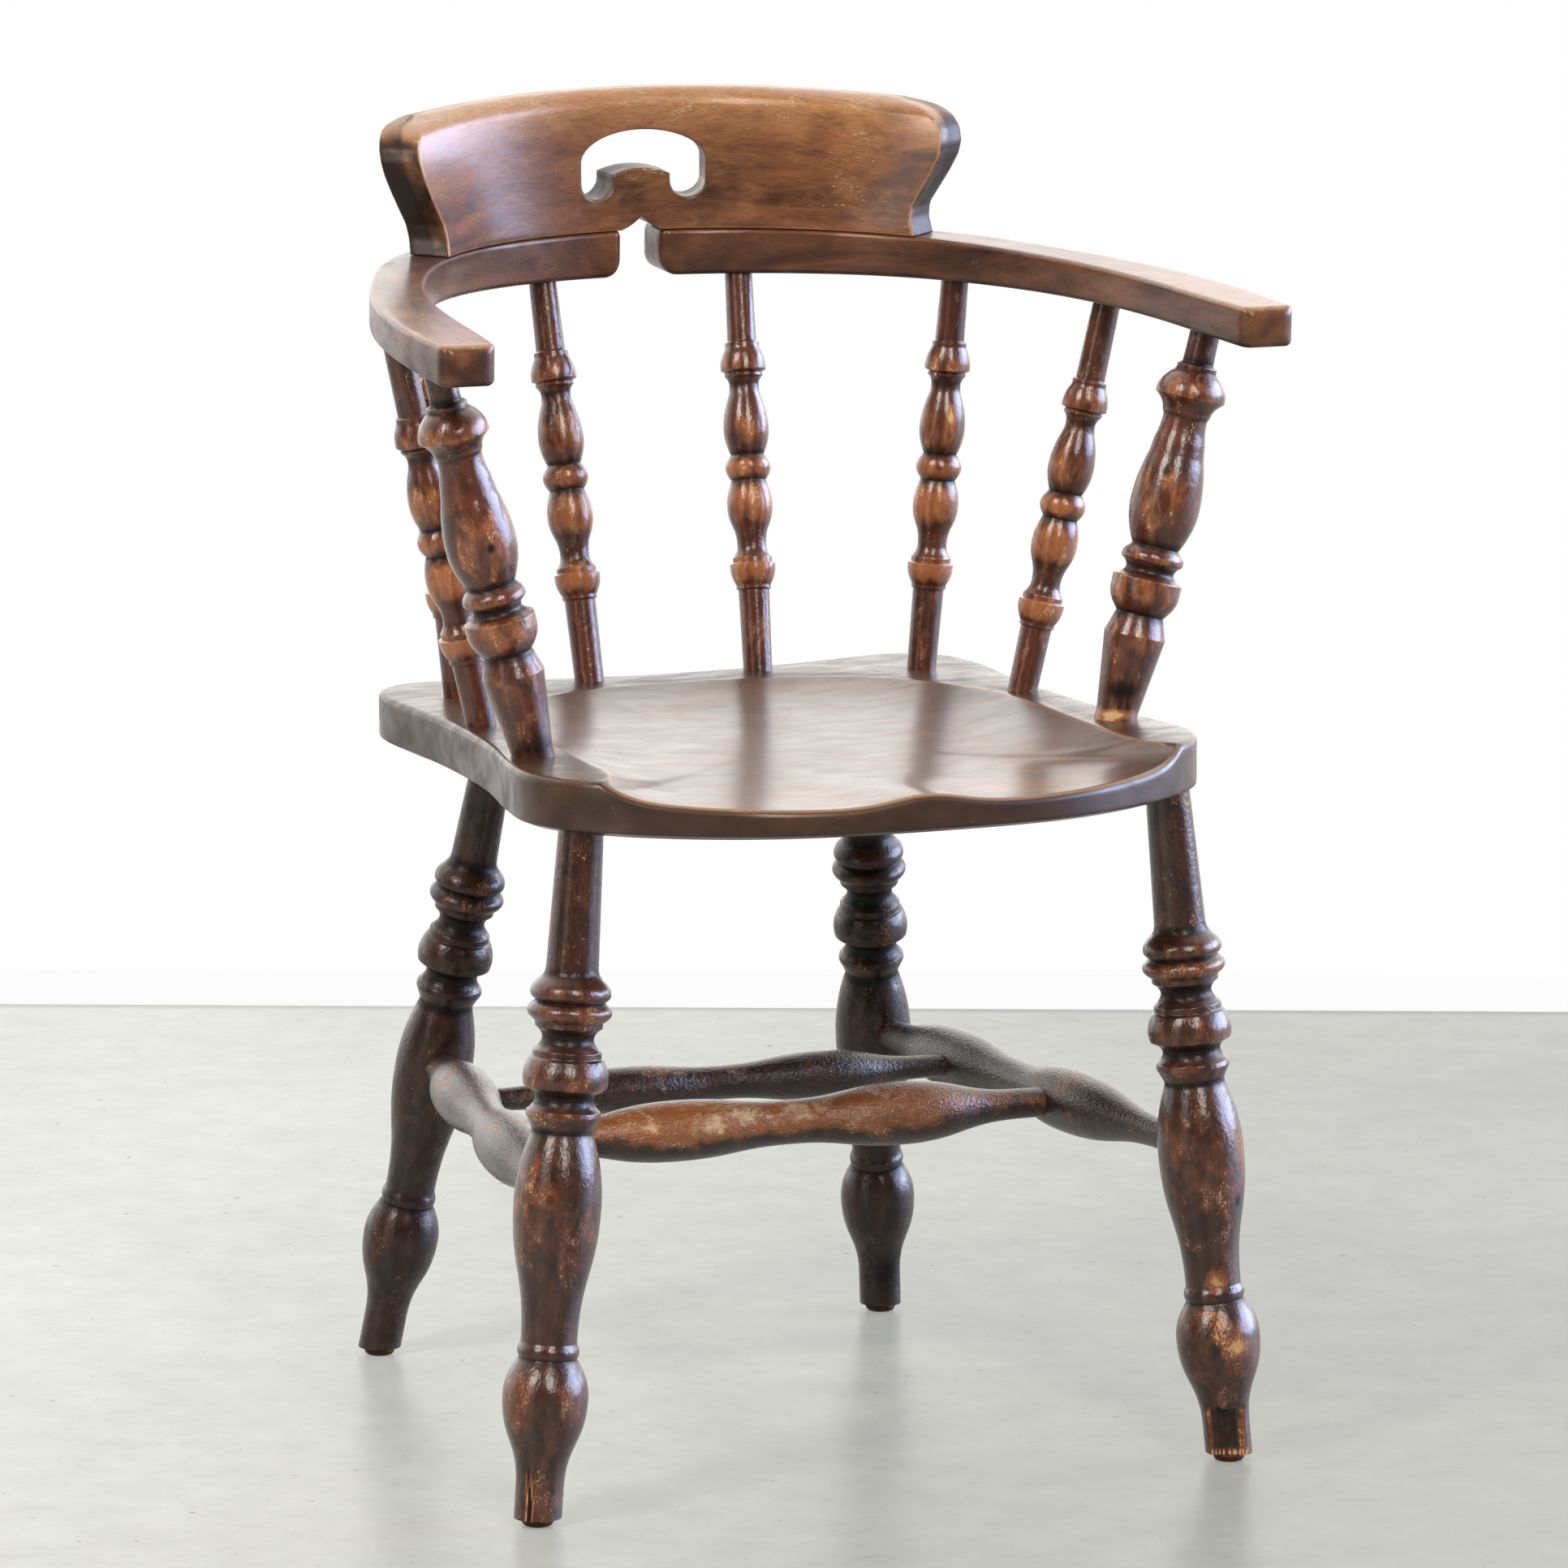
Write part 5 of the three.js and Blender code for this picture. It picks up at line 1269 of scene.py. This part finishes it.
for pane in stage["windows"]:
    across, up = pane["half"]
    offset = addNode(sky, "Mapping", {
        "Vector": around.outputs["Generated"], "Location": pane["towards"],
        "Rotation": (0, 0, math.atan2(pane["towards"][1], pane["towards"][0])),
        "Scale": (1, across, up)}, vector_type="TEXTURE")
    far = addNode(sky, "VectorMath", {0: offset}, operation="LENGTH")
    share = addNode(sky, "MapRange", {
        "Value": far.outputs["Value"], "From Min": 1.3, "From Max": 0.6}, interpolation_type="SMOOTHSTEP")
    glow = [channel * pane["strength"] for channel in linearColour(pane["colour"])[:3]]
    mirrored = addNode(sky, "VectorMath", {0: share, 1: glow, 2: mirrored}, operation="MULTIPLY_ADD")
indirect = addNode(sky, "Mix", {0: path.outputs["Is Glossy Ray"], 6: soft, 7: mirrored}, data_type="RGBA")
shown = addNode(sky, "Mix", {0: seen, 6: indirect.outputs[2], 7: (1, 1, 1, 1)}, data_type="RGBA")
background = addNode(sky, "Background", {"Color": shown.outputs[2], "Strength": 1.0})
addNode(sky, "OutputWorld", {"Surface": background})

# Floor: polished concrete up to the wall line, and white past it.
floorMesh = bpy.data.meshes.new("concreteFloor")
floorMesh.from_pydata([(x, y, 0) for x, y in ((-9, -9), (9, -9), (9, 9), (-9, 9))], [], [(0, 1, 2, 3)])
floorMesh.transform(Matrix.Rotation(-yaw, 4, "Z"))
floor = bpy.data.objects.new("concreteFloor", floorMesh)
bpy.context.scene.collection.objects.link(floor)
concrete, tree = newMaterial("polishedConcrete")
spot = addNode(tree, "TexCoord")
away = addNode(tree, "VectorMath", {
    0: spot.outputs["Object"], 1: (math.sin(yaw), math.cos(yaw), 0)}, operation="DOT_PRODUCT")
wallAt = stage["wallAt"] + stage["camera"][0] * math.sin(yaw) + stage["camera"][1] * math.cos(yaw)
past = addNode(tree, "Math", {0: away.outputs["Value"], 1: wallAt}, operation="GREATER_THAN")
cloud = addNode(tree, "TexNoise", {
    "Vector": spot.outputs["Object"], "Scale": floorLook["cloudScale"], "Detail": 8.0, "Roughness": 0.62})
# Painted light: the concrete is made lighter to the left and towards the wall, and darker to the right and near the
# front.
aside = addNode(tree, "VectorMath", {
    0: spot.outputs["Object"], 1: (math.cos(yaw), -math.sin(yaw), 0)}, operation="DOT_PRODUCT")
paintedSideLight = addNode(tree, "MapRange", {"Value": aside.outputs["Value"], "From Min": -0.55, "From Max": 0.35})
clouded = addNode(tree, "Math", {
    0: cloud.outputs["Fac"], 1: floorLook["clouding"], 2: paintedSideLight}, operation="MULTIPLY_ADD")
paintedDepthLight = addNode(tree, "MapRange", {
    "Value": away.outputs["Value"], "From Min": 0.6, "From Max": -0.5, "To Min": -0.3, "To Max": 0.08})
shaded = addNode(tree, "Math", {0: clouded, 1: paintedDepthLight}, operation="ADD", use_clamp=True)
plain = addNode(tree, "Mix", {
    0: shaded, 6: linearColour(floorLook["left"]), 7: linearColour(floorLook["right"])}, data_type="RGBA")
# Small stones and drips in the concrete, 2 to 5 mm across, and fine mottling.
grit = addNode(tree, "TexNoise", {
    "Vector": spot.outputs["Object"], "Scale": floorLook["gritScale"], "Detail": 3.0})
speck = addNode(tree, "MapRange", {"Value": grit.outputs["Fac"], "From Min": 0.7, "From Max": 0.75, "To Max": 0.6})
patch = addNode(tree, "TexNoise", {
    "Vector": spot.outputs["Object"], "Scale": floorLook["patchScale"], "Detail": 9.0, "Roughness": 0.75})
mottle = addNode(tree, "MapRange", {
    "Value": patch.outputs["Fac"], "From Min": 0.3, "From Max": 0.7, "To Min": floorLook["mottling"][0],
    "To Max": floorLook["mottling"][1]})
# A thin dark gap where the slab meets the wall.
joint = addNode(tree, "MapRange", {
    "Value": away.outputs["Value"], "From Min": wallAt - floorLook["jointStart"],
    "From Max": wallAt - floorLook["jointEnd"], "To Min": 1.0, "To Max": floorLook["jointShade"]})
darkened = addNode(tree, "Math", {0: mottle, 1: joint}, operation="MULTIPLY")
mottled = addNode(tree, "Mix", {0: 1.0, 6: plain.outputs[2], 7: darkened}, data_type="RGBA", blend_type="MULTIPLY")
grey = addNode(tree, "Mix", {
    0: speck, 6: mottled.outputs[2], 7: linearColour(floorLook["speck"])}, data_type="RGBA")
polish = addNode(tree, "MapRange", {
    "Value": cloud.outputs["Fac"], "To Min": floorLook["roughness"][0], "To Max": floorLook["roughness"][1]})
slab = addNode(tree, "BsdfPrincipled", {
    "Base Color": grey.outputs[2], "Roughness": polish, "Specular IOR Level": floorLook["specular"]})
# The skirting board is a shade darker than the wall above it.
aboveBoard = addNode(tree, "Math", {
    0: away.outputs["Value"], 1: wallAt + stage["boardHeight"]}, operation="GREATER_THAN")
bright = addNode(tree, "Math", {0: aboveBoard, 1: 0.03, 2: 0.97}, operation="MULTIPLY_ADD")
white = addNode(tree, "Emission", {"Color": (1, 1, 1, 1), "Strength": bright})
evenLight = addNode(tree, "Emission", {"Color": grey.outputs[2], "Strength": floorLook["glow"]})
seenBy = addNode(tree, "LightPath")
mirroring = addNode(tree, "Math", {
    0: seenBy.outputs["Is Glossy Ray"], 1: seenBy.outputs["Is Transmission Ray"]}, operation="MAXIMUM")
looking = addNode(tree, "Math", {0: seenBy.outputs["Is Camera Ray"], 1: mirroring}, operation="MAXIMUM")
glowing = addNode(tree, "Math", {0: looking, 1: floorLook["even"]}, operation="MULTIPLY")
lit = addNode(tree, "MixShader", {0: glowing, 1: slab, 2: evenLight})
cover = addNode(tree, "MixShader", {0: past, 1: lit, 2: white})
addNode(tree, "OutputMaterial", {"Surface": cover})
floorMesh.materials.append(concrete)

for name, lamp in stage["lamps"].items():
    light = bpy.data.lights.new(name + "Light", "AREA")
    light.shape = "RECTANGLE"
    light.size, light.size_y = lamp["size"]
    light.energy = lamp["watts"]
    light.color = linearColour(lamp["colour"])[:3]
    holder = bpy.data.objects.new(name + "Light", light)
    holder.visible_glossy = False  # the windows in the world are its reflection
    holder.location = lamp["at"]
    aim = Vector(stage["target"]) - Vector(lamp["at"])
    holder.rotation_euler = aim.to_track_quat("-Z", "Y").to_euler()
    bpy.context.scene.collection.objects.link(holder)

cameraData = bpy.data.cameras.new("camera")
cameraData.lens = stage["lens"]
cameraData.sensor_width = 36
cameraData.clip_end = 60
camera = bpy.data.objects.new("camera", cameraData)
turnTo = Euler((math.radians(90 - stage["pitch"]), 0, -yaw)).to_matrix().to_4x4()
roll = Matrix.Rotation(math.radians(stage["roll"]), 4, "Z")
camera.matrix_world = Matrix.Translation(stage["camera"]) @ turnTo @ roll
bpy.context.scene.collection.objects.link(camera)
bpy.context.scene.camera = camera
bpy.context.scene.view_settings.view_transform = "Standard"
print("stage")
